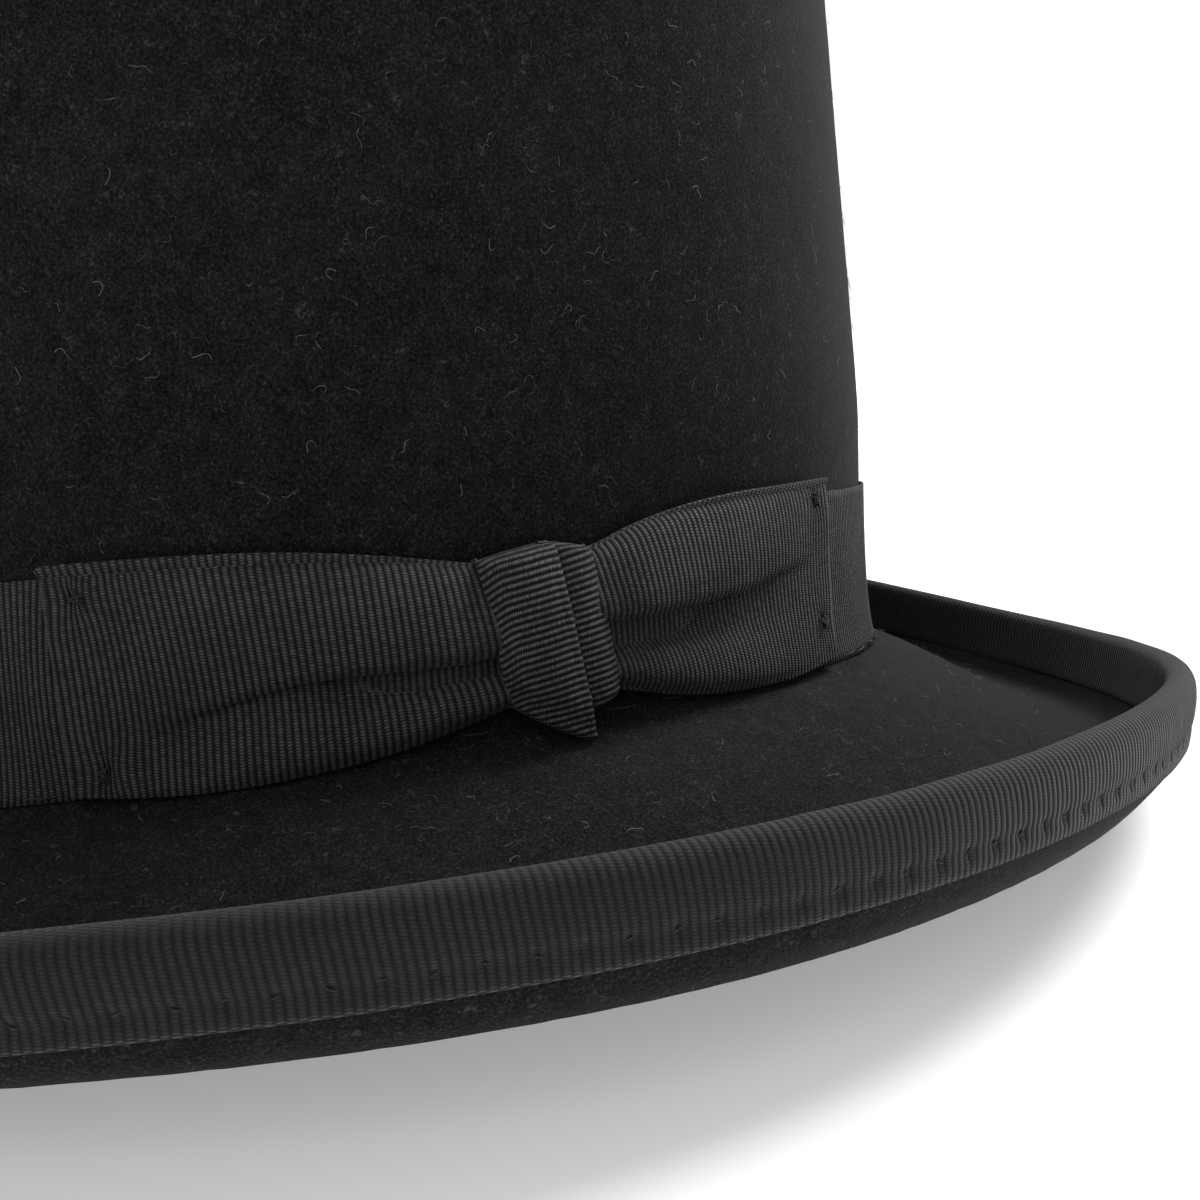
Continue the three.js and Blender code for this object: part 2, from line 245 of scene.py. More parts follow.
class Piece:
    """Closed bodies, each a round of loops, gathered into one mesh with cloth coordinates in mm."""

    def __init__(self):
        self.points, self.faces, self.uvs, self.count = [], [], [], 0

    def add(self, loops, wrap, u, v):
        """Adds one body. loops is (stations, points round the loop, 3), and wrap joins the last station
        to the first. u and v are cloth coordinates, as lists or whole grids, with one value more than
        there are points, and one more than there are stations if those wrap. Returns the piece."""
        nu, nv = loops.shape[:2]
        u, v = np.asarray(u, float), np.asarray(v, float)
        u = u[:, None] if u.ndim == 1 else u
        u, v = np.broadcast_arrays(u, v[None] if v.ndim == 1 else v)
        i = np.arange(nu if wrap else nu - 1)[:, None]
        j = np.arange(nv)[None, :]
        i1, j1 = (i + 1) % nu, (j + 1) % nv
        quads = np.stack([i * nv + j, i1 * nv + j, i1 * nv + j1, i * nv + j1], -1).reshape(-1, 4)
        next_i = i + 1 if wrap else i1
        corners = [(i, j), (next_i, j), (next_i, j + 1), (i, j + 1)]
        uv = np.stack([np.stack([w[corner] for corner in corners], -1).reshape(-1, 4) for w in (u, v)], -1)
        flat = loops.reshape(-1, 3)
        a, b, c, d = (flat[quads[:, k]] for k in range(4))
        middle = flat.mean(0)
        volume = (np.cross(b - middle, c - middle) * (a - middle)).sum()
        volume += (np.cross(c - middle, d - middle) * (a - middle)).sum()
        ends = []
        for station, columns in () if wrap else ((0, range(nv)[::-1]), (nu - 1, range(nv))):
            uvs = [(u[station, k], v[station, k]) for k in columns]
            ends.append(([station * nv + k for k in columns], uvs))
        if volume < 0:
            quads, uv = quads[:, ::-1], uv[:, ::-1]
            ends = [(face[::-1], uvs[::-1]) for face, uvs in ends]
        self.faces += (quads + self.count).tolist()
        self.uvs.append(uv.reshape(-1, 2))
        for face, uvs in ends:
            self.faces.append([k + self.count for k in face])
            self.uvs.append(np.array(uvs))
        self.points.append(flat)
        self.count += len(flat)
        return self

    def add_wall(self, face, back, wrap, u, v):
        """A thin wall between a face and a back, both grids of points, with cloth coordinates u and v."""
        v = np.concatenate([v, v[::-1], v[:1]])
        return self.add(np.concatenate([face, back[:, ::-1]], 1), wrap, u, v)

    def tube(self, path, radius, sides=6):
        """A round thread along a path of points, closed at both ends; radius may change along it."""
        path = np.asarray(path, float)
        radius = np.broadcast_to(np.asarray(radius, float), len(path))
        tangent = np.gradient(path, axis=0)
        tangent /= np.linalg.norm(tangent, axis=1, keepdims=True)
        guide = np.array([0.0, 0.0, 1.0]) if abs(tangent[:, 2]).mean() < 0.8 else np.array([1.0, 0.0, 0.0])
        side = np.cross(tangent, guide)
        side /= np.linalg.norm(side, axis=1, keepdims=True)
        rise = np.cross(side, tangent)
        turn = np.linspace(0, TURN, sides, endpoint=False)[None, :, None]
        ring = np.cos(turn) * side[:, None] + np.sin(turn) * rise[:, None]
        loops = path[:, None] + radius[:, None, None] * ring
        self.add(loops, False, distance_run(path), np.linspace(0, TURN * radius.mean(), sides + 1))

    def build(self, name, material, slot, replaces):
        """Makes the object, with its material, and hides the CAD nodes that it replaces; slot is not used."""
        mesh = bpy.data.meshes.new(name)
        mesh.from_pydata((np.concatenate(self.points) * MM).tolist(), [], self.faces)
        layer = mesh.uv_layers.new(name="cloth")
        layer.data.foreach_set("uv", np.concatenate(self.uvs).astype(np.float32).ravel())
        mesh.shade_smooth()
        mesh.materials.append(material)
        obj = bpy.data.objects.new(name, mesh)
        bpy.context.scene.collection.objects.link(obj)
        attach(obj, "root")
        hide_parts(*replaces)
        return obj


def ribbon(grid, normal, height, thickness, u, v, back_rows=None):
    """A piece of thin ribbon: its face raised by height, and its back, a thickness under the face."""
    rows = np.arange(grid.shape[1])[::-1] if back_rows is None else np.asarray(back_rows)[::-1]
    loops = np.concatenate([grid + normal * height[..., None], (grid - normal * thickness)[:, rows]], 1)
    return Piece().add(loops, True, u, np.concatenate([v, v[rows], v[:1]]))


def rib_profile(u, pitch):
    """0 between ribs and 1 on a rib."""
    return np.abs(np.sin(np.pi * u / pitch)) ** 0.8


# ================================================================ materials

class Shader:
    """One node material round a Principled shader, with short calls for its nodes."""

    def __init__(self, name, roughness, **sockets):
        self.material = bpy.data.materials.new(name)
        self.material.use_nodes = True
        self.tree = self.material.node_tree
        self.surface = self.tree.nodes["Principled BSDF"]
        self.surface.inputs["Roughness"].default_value = roughness
        for socket, value in sockets.items():
            self.surface.inputs[socket.replace("_", " ")].default_value = value

    def node(self, kind, **inputs):
        node = self.tree.nodes.new("ShaderNode" + kind)
        for key, value in inputs.items():
            self.put(node.inputs[key.replace("_", " ")], value)
        return node

    def put(self, socket, value):
        if isinstance(value, bpy.types.NodeSocket):
            self.tree.links.new(value, socket)
        else:
            socket.default_value = value

    def calc(self, operation, *values):
        node = self.tree.nodes.new("ShaderNodeMath")
        node.operation = operation
        for socket, value in zip(node.inputs, values):
            self.put(socket, value)
        return node.outputs[0]

    def add(self, one, other):
        return self.calc("ADD", one, other)

    def less(self, one, other):
        return self.calc("SUBTRACT", one, other)

    def times(self, one, other):
        return self.calc("MULTIPLY", one, other)

    def times_add(self, one, other, added):
        return self.calc("MULTIPLY_ADD", one, other, added)

    def ridges(self, value):
        """Round ridges, 0 between them and 1 on them, one to each unit of value."""
        return self.calc("ABSOLUTE", self.calc("SINE", self.times(value, math.pi)))

    def millimetres(self):
        """The point on the object, in millimetres."""
        node = self.tree.nodes.new("ShaderNodeVectorMath")
        node.operation = "SCALE"
        self.put(node.inputs[0], self.node("TexCoord").outputs["Object"])
        node.inputs["Scale"].default_value = 1 / MM
        return node.outputs[0]

    def cloth(self):
        """The cloth coordinates, in millimetres along and across it."""
        node = self.tree.nodes.new("ShaderNodeUVMap")
        node.uv_map = "cloth"
        return node.outputs[0]

    def moved(self, vector, by=(0, 0, 0), scale=(1, 1, 1)):
        node = self.tree.nodes.new("ShaderNodeMapping")
        self.put(node.inputs["Vector"], vector)
        node.inputs["Location"].default_value = by
        node.inputs["Scale"].default_value = scale
        return node.outputs[0]

    def noise(self, vector, scale, detail=2.0, distortion=0.0):
        node = self.node("TexNoise", Vector=vector, Scale=scale, Detail=detail, Distortion=distortion)
        return node.outputs[0]

    def spread(self, value, low, high, to_low=0.0, to_high=1.0):
        """value from low..high to to_low..to_high, smooth and clamped."""
        node = self.tree.nodes.new("ShaderNodeMapRange")
        node.interpolation_type = "SMOOTHSTEP"
        for socket, given in zip(node.inputs, (value, low, high, to_low, to_high)):
            self.put(socket, given)
        return node.outputs[0]

    def colour(self, share, low, high):
        """A colour between two, by a share from 0 to 1."""
        node = self.tree.nodes.new("ShaderNodeMix")
        node.data_type = "RGBA"
        self.put(node.inputs["Factor"], share)
        node.inputs["A"].default_value = (*low, 1)
        node.inputs["B"].default_value = (*high, 1)
        return node.outputs["Result"]

    def strands(self, vector, scale, width, share, seed):
        """Short curved fibres: level lines of a noise, cut into pieces by another."""
        line = self.noise(self.moved(vector, (seed, seed * 2, 0)), scale, 1.0, 0.6)
        near = self.calc("ABSOLUTE", self.less(line, 0.5))
        thin = self.spread(near, 0.0, width, 1.0, 0.0)
        cut = self.noise(self.moved(vector, (0, seed * 3, seed)), scale * 1.3, 0.0)
        return self.times(thin, self.spread(cut, 1 - share, 1.1 - share))

    def finish(self, colour, roughness=None, height=None, depth=0.1):
        """Links the colour, the roughness and a height, as a bump of a depth in millimetres."""
        self.put(self.surface.inputs["Base Color"], colour)
        if roughness is not None:
            self.put(self.surface.inputs["Roughness"], roughness)
        if height is not None:
            bump = self.node("Bump", Strength=1.0, Distance=depth * MM, Height=height)
            self.put(self.surface.inputs["Normal"], bump.outputs[0])
        return self.material


def felt_material():
    """Pressed fur felt: dark grain with curved fibres of three sizes and small light specks."""
    s = Shader("felt", 0.95, Sheen_Weight=0.06, Sheen_Roughness=0.4, Sheen_Tint=(0.8, 0.85, 0.83, 1),
               Specular_IOR_Level=0.08)
    at = s.millimetres()
    long = s.strands(at, 0.42, 0.03, 0.34, 3.0)
    short = s.strands(at, 0.9, 0.06, 0.34, 17.0)
    tangle = s.strands(at, 1.6, 0.10, 0.45, 41.0)
    fibres = s.calc("MAXIMUM", s.calc("MAXIMUM", long, s.times(short, 0.8)), s.times(tangle, 0.4))
    grain = s.noise(at, 2.4, 3.0)
    speck = s.spread(s.noise(s.moved(at, (9, 4, 2)), 2.6, 1.0), 0.62, 0.72)
    cloud = s.noise(at, 0.05, 3.0)
    patch = s.noise(at, 0.3, 2.0)
    tone = s.times_add(s.less(patch, 0.5), 0.10, 0.02)
    tone = s.times_add(s.less(cloud, 0.5), 0.08, tone)
    tone = s.times_add(s.spread(grain, 0.35, 0.72), 0.13, tone)
    tone = s.times_add(speck, 0.26, tone)
    tone = s.times_add(fibres, s.spread(patch, 0.35, 0.65, 0.12, 0.55), tone)
    colour = s.colour(tone, (0.0016, 0.0019, 0.0018), (0.060, 0.065, 0.063))
    height = s.times_add(fibres, 0.7, s.times(grain, 0.9))
    rough = s.spread(grain, 0.3, 0.7, 0.98, 0.86)
    return s.finish(colour, rough, height, 0.12)


def grosgrain_material(name, pitch, dark, light, wear, bead=BEAD, narrow=1.0, beaded=0.75, gloss=0.25,
                       sheen=0.04, fold_highlight_at=None):
    """Ribs across the ribbon, each crossed by fine warp yarns that step by half at the next rib. Its colour
    is painted light on the crests of ribs and beads and painted dark in the grooves between them: painted
    highlights and painted shade.
    The last argument is the place across the ribbon of the fold over the rim, where the colour is painted
    lighter along it: a painted highlight."""
    s = Shader(name, 0.5, Sheen_Weight=sheen, Sheen_Roughness=0.4, Sheen_Tint=(0.85, 0.87, 0.86, 1),
               Specular_IOR_Level=gloss)
    at = s.cloth()
    wander = s.noise(at, 0.35, 2.0)
    parts = s.node("SeparateXYZ", Vector=at).outputs
    along = s.calc("DIVIDE", parts[0], pitch)
    across = s.times_add(s.less(wander, 0.5), 0.5, s.calc("DIVIDE", parts[1], bead))
    row = s.calc("FLOOR", along)
    step = s.times_add(s.calc("MODULO", row, 2.0), 0.5, across)
    rib = s.ridges(along)
    yarn = s.ridges(step)
    # one value to each yarn where it crosses each rib
    cell = s.node("CombineXYZ", X=row, Y=s.calc("FLOOR", step), Z=0.0)
    chance = s.node("TexWhiteNoise", Vector=cell.outputs[0]).outputs[0]
    bead_share = s.times_add(s.calc("POWER", yarn, 0.8), beaded, 1 - beaded)
    crown = s.times(s.calc("POWER", rib, narrow), bead_share)
    fluff = s.strands(at, 0.5, 0.03, 0.25, 7.0)
    speck = s.spread(s.noise(at, 1.7, 1.0), 0.70, 0.80)
    cloud = s.noise(at, 0.08, 3.0)
    # painted highlights and painted shade: the colour is light on the crests of ribs and beads and dark in
    # the grooves
    tone = s.times(s.calc("POWER", crown, 1.5), s.times_add(chance, beaded, 1 - beaded / 2))
    tone = s.times(tone, s.spread(cloud, 0.3, 0.7, 0.75, 1.15))
    tone = s.times_add(s.calc("MAXIMUM", fluff, speck), wear, tone)
    # painted highlight: the colour is made lighter along the fold over the rim's top
    if fold_highlight_at is not None:
        away = s.calc("ABSOLUTE", s.less(parts[1], fold_highlight_at))
        painted_fold_highlight = s.spread(s.times_add(wander, 1.5, away), 1.2, 3.6, 1.0, 0.0)
        tone = s.times_add(painted_fold_highlight, s.less(1.05, tone), tone)
    height = s.times_add(chance, 0.12, crown)
    rough = s.spread(crown, 0.1, 0.9, 0.85, 0.75 - gloss)
    return s.finish(s.colour(tone, dark, light), rough, height, 0.16)


def thread_material():
    """Two-ply sewing thread."""
    s = Shader("sewing_thread", 0.6, Sheen_Weight=0.05, Specular_IOR_Level=0.3)
    at = s.cloth()
    parts = s.node("SeparateXYZ", Vector=at).outputs
    twist = s.add(s.times(parts[0], 2.6), s.times(parts[1], 1.4))
    ply = s.ridges(twist)
    tone = s.times(ply, s.spread(s.noise(at, 0.6), 0.3, 0.7, 0.6, 1.1))
    return s.finish(s.colour(tone, (0.003, 0.003, 0.003), (0.02, 0.02, 0.02)),
                    s.spread(ply, 0, 1, 0.75, 0.5), ply, 0.06)


def leather_material():
    """Smooth dark leather with pores, wrinkles and worn places."""
    s = Shader("sweatband_leather", 0.5, Coat_Weight=0.08, Coat_Roughness=0.35, Specular_IOR_Level=0.45)
    at = s.millimetres()
    cells = s.node("TexVoronoi", Vector=at, Scale=1.7)
    pores = s.spread(cells.outputs["Distance"], 0.05, 0.5)
    wrinkle = s.strands(at, 0.22, 0.05, 0.6, 5.0)
    cloud = s.noise(at, 0.06, 3.0)
    tone = s.times_add(pores, 0.35, s.spread(cloud, 0.3, 0.7, 0.1, 0.55))
    tone = s.less(tone, s.times(wrinkle, 0.2))
    height = s.less(pores, s.times(wrinkle, 0.8))
    return s.finish(s.colour(tone, (0.016, 0.012, 0.010), (0.055, 0.044, 0.036)),
                    s.spread(cloud, 0.3, 0.7, 0.42, 0.6), height, 0.12)


def satin_material():
    """Satin: fine warp lines, glossy across them."""
    s = Shader("satin_lining", 0.34, Anisotropic=0.45, Sheen_Weight=0.3, Sheen_Roughness=0.35,
               Specular_IOR_Level=0.6)
    at = s.cloth()
    parts = s.node("SeparateXYZ", Vector=at).outputs
    float_yarn = s.noise(s.moved(at, scale=(0.5, 5.0, 1.0)), 1.0, 1.0)
    warp = s.ridges(s.times(parts[0], 1 / 0.22))
    cloud = s.noise(at, 0.05, 3.0)
    tone = s.times_add(warp, 0.25, s.spread(cloud, 0.3, 0.7, 0.25, 0.65))
    height = s.add(s.times(warp, 0.5), float_yarn)
    return s.finish(s.colour(tone, (0.010, 0.010, 0.012), (0.034, 0.034, 0.038)),
                    s.spread(float_yarn, 0.3, 0.7, 0.28, 0.42), height, 0.03)


def reed_material():
    """Pale reed, streaked along, with a few darker rings."""
    s = Shader("reed_cord", 0.45, Specular_IOR_Level=0.45)
    at = s.cloth()
    streak = s.noise(s.moved(at, scale=(0.12, 3.0, 1.0)), 1.0, 3.0)
    node_ring = s.spread(s.noise(s.moved(at, scale=(0.05, 0.01, 1.0)), 1.0), 0.62, 0.7)
    tone = s.less(s.spread(streak, 0.3, 0.7), s.times(node_ring, 0.4))
    return s.finish(s.colour(tone, (0.30, 0.26, 0.19), (0.58, 0.53, 0.42)),
                    s.spread(streak, 0.3, 0.7, 0.38, 0.6), streak, 0.08)


def tape_material():
    """Thin cotton tape in plain weave."""
    s = Shader("cotton_tape", 0.8, Sheen_Weight=0.3)
    parts = s.node("SeparateXYZ", Vector=s.cloth()).outputs
    warp = s.calc("SINE", s.times(parts[0], TURN / 0.5))
    weft = s.calc("SINE", s.times(parts[1], TURN / 0.5))
    weave = s.spread(s.times(warp, weft), -0.8, 0.8)
    cloud = s.noise(s.cloth(), 0.2, 2.0)
    tone = s.times(weave, s.spread(cloud, 0.3, 0.7, 0.6, 1.0))
    return s.finish(s.colour(tone, (0.012, 0.011, 0.009), (0.04, 0.037, 0.03)),
                    s.spread(weave, 0, 1, 0.9, 0.7), weave, 0.08)


def floor_material():
    """Nearly white and faintly clouded. It also glows faintly: painted light that brightens the shadows on
    it.
    """
    s = Shader("pale_glowing_floor", 0.9, Specular_IOR_Level=0.1, Emission_Strength=0.3, Emission_Color=(1, 1, 1, 1))
    cloud = s.noise(s.millimetres(), 0.004, 2.0)
    return s.finish(s.colour(cloud, (0.90, 0.90, 0.90), (0.93, 0.93, 0.93)))


FELT = felt_material()
GROSGRAIN = grosgrain_material("band_grosgrain", RIB, (0.0008, 0.0009, 0.0009), (0.066, 0.067, 0.0665), 0.10,
                               narrow=1.2, sheen=0.06)
# the knot's ribbon is a brighter copy of the band's grosgrain: its rib crests carry a stronger painted
# highlight
KNOT_GROSGRAIN_HIGHLIGHTED = grosgrain_material("knot_grosgrain_painted_highlights", KNOT_RIB, (0.0005, 0.0005, 0.0005),
                                    (0.125, 0.127, 0.125), 0.04, bead=0.34, narrow=2.0)
BINDING_GROSGRAIN = grosgrain_material("binding_grosgrain", BINDING_RIB, (0.0075, 0.0079, 0.0079),
                                       (0.0205, 0.0214, 0.0212), 0.8, bead=0.42, narrow=1.1, beaded=0.5,
                                       gloss=0.1, sheen=0.17, fold_highlight_at=BINDING_FOLD)
THREAD = thread_material()
LEATHER_SKIN = leather_material()
SATIN = satin_material()
REED = reed_material()
TAPE = tape_material()


# ================================================================ the felt

POLE = 0.002  # the share of an oval left open in its middle, too small to see


def brim_top(angle, steps=10):
    """Rows of (out, height) on the brim's upper face, from the crown's foot to the bottom of the curl."""
    start_out, start = 4.4, joint_height(angle) - 1.2
    end_out, end = brim_width(angle) - CURL_WIDTH, rim_height(angle) - curl_depth(angle)
    rows = []
    for i in range(steps + 1):
        t = i / steps
        fall = t * t * (3 - 2 * t) + FOOT_SLOPE * t * (1 - t) ** 2
        rows.append((mix(start_out, end_out, t) + 0 * angle, mix(start, end, fall)))
    return rows


def beside(rows, distance):
    """Rows of (out, height) moved sideways by a distance, to the left of their run."""
    moved = []
    for i, (out, height) in enumerate(rows):
        a, b = rows[max(i - 1, 0)], rows[min(i + 1, len(rows) - 1)]
        run, rise = b[0] - a[0], b[1] - a[1]
        length = np.hypot(run, rise)
        moved.append((out - rise / length * distance, height + run / length * distance))
    return moved


def rim_rows(angle):
    """Rows of (out, height) over the rim, up its inner face and down its outer face."""
    w, h = brim_width(angle), rim_height(angle)
    shape = [(-3.6, -BINDING_DEPTH), (-2.9, -9.0), (-2.4, -6.5), (-2.1, -4.2), (-1.8, -2.4), (-1.2, -1.4),
             (-0.2, -RIBBON - GAP), (0.9, -1.4), (1.5, -2.4), (1.75, -4.2), (1.7, -6.5), (1.4, -9.0),
             (1.0, -BINDING_DEPTH)]
    return [(w + out, h + rise) for out, rise in shape]


def oval_rows(angle, height, edge_off, shares):
    """Rows of a level oval in the crown, at shares of the way from its middle to its edge."""
    middle = np.array([0.0, -CROWN_LEAN * CROWN_HEIGHT, height + LEVEL])
    edge = on_crown(angle, CROWN_HEIGHT, edge_off)
    edge[:, 2] = height + LEVEL
    return [mix(middle, edge, share) for share in shares]


def felt_rows(angle):
    """Rows of points over the felt: from the tip's middle down outside, over the rim and up inside."""
    tip_edge = CROWN_HEIGHT - TIP_RADIUS * 0.3
    w, h = brim_width(angle), rim_height(angle)
    curl = h - curl_depth(angle)
    low = curl - BRIM_FELT

    def hat(rows):
        return [on_hat(angle, out, height) for out, height in rows]

    side = [131.5, 128, 115, 96, 83, 70, 58, 45, 32, 18, 10, 6, 2.5, 0.6]
    inside = [2, 10, 18, 32, 45, 70, 96, 120, 130]
    rows = oval_rows(angle, CROWN_HEIGHT, -TIP_RADIUS, (POLE, 0.2, 0.4, 0.6, 0.8, 0.93, 1.0))
    rows += [on_crown(angle, tip_edge, -TIP_RADIUS * 0.3)]
    rows += [on_crown(angle, up, 0) for up in side]
    rows += hat(brim_top(angle))
    rows += hat([(w - 8.2, curl + 0.3), (w - 6, curl + 1.4)])
    rows += hat(rim_rows(angle))
    rows += hat([(w - 2.2, low + 2.2), (w - 6, low + 0.4)])
    rows += hat(beside(brim_top(angle), -BRIM_FELT)[::-1])
    rows += [on_crown(angle, up, -CROWN_FELT) for up in inside]
    shares = (1.0, 0.75, 0.5, 0.25, POLE)
    rows += oval_rows(angle, CROWN_HEIGHT - CROWN_FELT, -TIP_RADIUS - CROWN_FELT, shares)
    return np.stack(rows)


def felt_body():
    """The crown and the brim in one felt, a little uneven all over."""
    columns, row_gap = 480, 3.2
    control = felt_rows(even_angles(columns))
    run = mean_run(control)
    far = [run[0]]
    for a, b in zip(run[:-1], run[1:]):
        parts = max(1, int(round((b - a) / row_gap)))
        far += list(a + (b - a) * np.arange(1, parts + 1) / parts)
    far = np.array(far)
    grid = smooth_through(run, control, far).transpose(1, 0, 2)
    normal = surface_normals(grid, np.s_[:, len(far) // 4])
    wave, pile = Noise(11), Noise(12)
    x, y, z = (grid[..., k] for k in range(3))
    height = 0.22 * wave(x / 31, y / 31, z / 31) + 0.05 * pile(x / 2.3, y / 2.3, z / 2.3)
    free = smoothstep(far, 12, 40) * smoothstep(run[-1] - far, 12, 40)  # nothing moves at the poles
    grid = grid + normal * (height * free[None])[..., None]
    piece = Piece().add(grid, True, round_run(columns), np.append(far, far[-1] + 1))
    piece.build("felt_hat_body", FELT, "felt", ["felt_body"])


def fibre_material():
    """Hair, dark and light by turns."""
    s = Shader("felt_fibre", 0.7, Sheen_Weight=0.1, Specular_IOR_Level=0.25)
    shade = s.noise(s.millimetres(), 0.35, 1.0)
    return s.finish(s.colour(s.spread(shade, 0.35, 0.65), (0.010, 0.010, 0.010), (0.16, 0.16, 0.15)),
                    s.spread(shade, 0.3, 0.7, 0.8, 0.6))


FIBRES = 1500
FIBRE_POINTS = 8
FIBRES_UP = (31, 131)  # the heights between which they lie on the crown


def felt_fibres():
    """Loose curly hairs that lie on the felt of the crown and of the brim's upper face."""
    chance = np.random.RandomState(15)
    piece = Piece()
    t = np.linspace(0, 1, FIBRE_POINTS)
    brim_share = np.linspace(0, 1, 9)
    for _ in range(FIBRES):
        on_brim = chance.rand() < 0.42
        angle = chance.uniform(0, TURN)
        length = chance.uniform(1.2, 3.6)
        turn = chance.uniform(0, TURN) + np.cumsum(np.full(FIBRE_POINTS, chance.uniform(-0.55, 0.55)))
        turn += 0.5 * np.sin(t * chance.uniform(4, 11) + chance.uniform(0, TURN))
        sideways, upward = (np.cumsum(way(turn)) * length / FIBRE_POINTS for way in (np.cos, np.sin))
        lift = 0.22 + 0.28 * np.abs(np.sin(t * chance.uniform(2, 6) + chance.uniform(0, 3)))
        angles = angle + sideways / 100
        if on_brim:
            share = np.clip(chance.rand() + upward / 45, 0.02, 0.98)
            profile = np.array(brim_top(0 * angles + angle, 8)).transpose(2, 0, 1)[0]
            out, height = (np.interp(share, brim_share, profile[:, n]) for n in range(2))
            path = on_hat(angles, out, height + lift)
        else:
            up = np.clip(chance.uniform(*FIBRES_UP) + upward, *FIBRES_UP)
            path = on_crown(angles, up, lift)
        piece.tube(path, chance.uniform(0.025, 0.045), 3)
    piece.build("felt_fibres", fibre_material(), "felt", [])


# ================================================================ ribbon round the rim and the crown

STITCH_EVERY = 5.2  # along the binding
STITCH_RISE = 2.9  # of the binding's stitching above its lower edge
BINDING_LEAN = 1.9  # how far a rib moves along the rim as it goes down the outer face
PINCH_AT = -66.0  # the place along the band where the bow's front end pinches it
BOW_REACH = 60.0  # of the part of the bow that hides the band


def rim_binding():
    """The grosgrain folded over the rim: ribs across it, and a dent where each stitch pulls it in."""
    rim = HALF_WIDTH + 57, HALF_LENGTH + 55  # about the oval of the rim
    ribs = int(round(arc_table(*rim)[1][-1] / BINDING_RIB))
    steps = 3
    angle = even_angles(ribs * steps, *rim)
    run = np.arange(len(angle) + 1) * BINDING_RIB / steps
    rows = beside(rim_rows(angle), GAP + RIBBON * 0.7)
    control = np.stack([on_hat(angle, out, height) for out, height in rows])
    reach = mean_run(control)
    v = np.concatenate([np.linspace(0, 10, 8)[:-1], np.linspace(10, reach[-1], 21)])
    grid = smooth_through(reach, control, v).transpose(1, 0, 2)
    lean = smoothstep(v, reach[-1] / 2 - 3, reach[-1]) * BINDING_LEAN
    ahead = (np.roll(grid, -1, 0) - grid) * steps / BINDING_RIB
    grid = grid + ahead * lean[None, :, None]
    normal = surface_normals(grid, np.s_[:, -1])
    u = run[:-1, None]
    wave, fine = Noise(21), Noise(22)
    slack = wave(u / 14, v[None] / 9)
    ribs_up = rib_profile(u, BINDING_RIB) ** 2 * (0.6 + 0.4 * fine(u / 1.1, v[None] / 3))
    to_edge = reach[-1] - v[None]
    above = to_edge - STITCH_RISE
    seam = hill(above, 0.9)
    wander = 0.6 * fine(u / 5.2)
    pulled = 0.3 + 0.7 * np.abs(np.sin(np.pi * (u + wander) / STITCH_EVERY)) ** 6
    strip = smoothstep(-above, -1.0, 1.0)  # the flatter strip below the stitching
    smooth_top = hill(v[None] - reach[-1] / 2, 3.2)
    height = 0.075 * ribs_up * (1 - 0.85 * strip) * (1 - 0.8 * smooth_top)
    height = height + 0.12 * slack - 0.60 * seam * pulled + 0.08 * strip
    piece = ribbon(grid, normal, height, RIBBON * 0.4, run, v, [0, 7, 14, len(v) - 1])
    obj = piece.build("rim_binding", BINDING_GROSGRAIN, "binding_ribbon", ["brim_binding"])
    return grid[:, -1 - int(round(STITCH_RISE / (v[-1] - v[-2])))], run


def binding_stitches(line, run):
    """Short stitches sunk into the dents of the binding, all round."""
    piece = Piece()
    count = int(run[-1] / STITCH_EVERY)
    chance = np.random.RandomState(31)
    away = np.gradient(line, axis=0)
    out = np.stack([away[:, 1], -away[:, 0], 0 * away[:, 0]], -1)
    out /= np.linalg.norm(out, axis=1, keepdims=True)
    if (out * line).sum() < 0:
        out = -out
    for k in range(count):
        middle = (k + 0.5 + chance.uniform(-0.12, 0.12)) * STITCH_EVERY
        half = chance.uniform(0.5, 0.9)
        at = (middle + half * np.linspace(-1, 1, 7)) % run[-1]
        point, lift = (np.stack([np.interp(at, run[:-1], values[:, n], period=run[-1]) for n in range(3)], -1)
                       for values in (line, out))
        arch = -0.55 + 0.55 * np.cos(np.linspace(-1, 1, 7) * 1.3)
        point = point + lift * (arch[:, None] - 0.24)
        point[:, 2] += chance.uniform(-0.3, 0.3) + chance.uniform(-0.5, 0.5) * np.linspace(-1, 1, 7)
        piece.tube(point, 0.14)
    piece.build("binding_stitches", THREAD, "thread", ["binding_thread"])


def from_knot(run):
    """The place along the band of a distance run round it, less than half a round either way."""
    return (run + BASE_ROUND / 2) % BASE_ROUND - BASE_ROUND / 2


def drawn_in(run):
    """The band's upper and lower edges, gathered a little behind the bow where the knot goes round it."""
    along = from_knot(run)
    near = np.clip(along, -BOW_REACH, BOW_REACH)
    behind = smoothstep(-np.abs(along), -BOW_REACH, -BOW_REACH + 8)
    top = mix(BAND_TOP, np.minimum(BAND_TOP, wing(near, "top") - 0.8), behind)
    bottom = mix(BAND_BOTTOM, np.maximum(BAND_BOTTOM, wing(near, "bottom") + 0.8), behind)
    return top, bottom


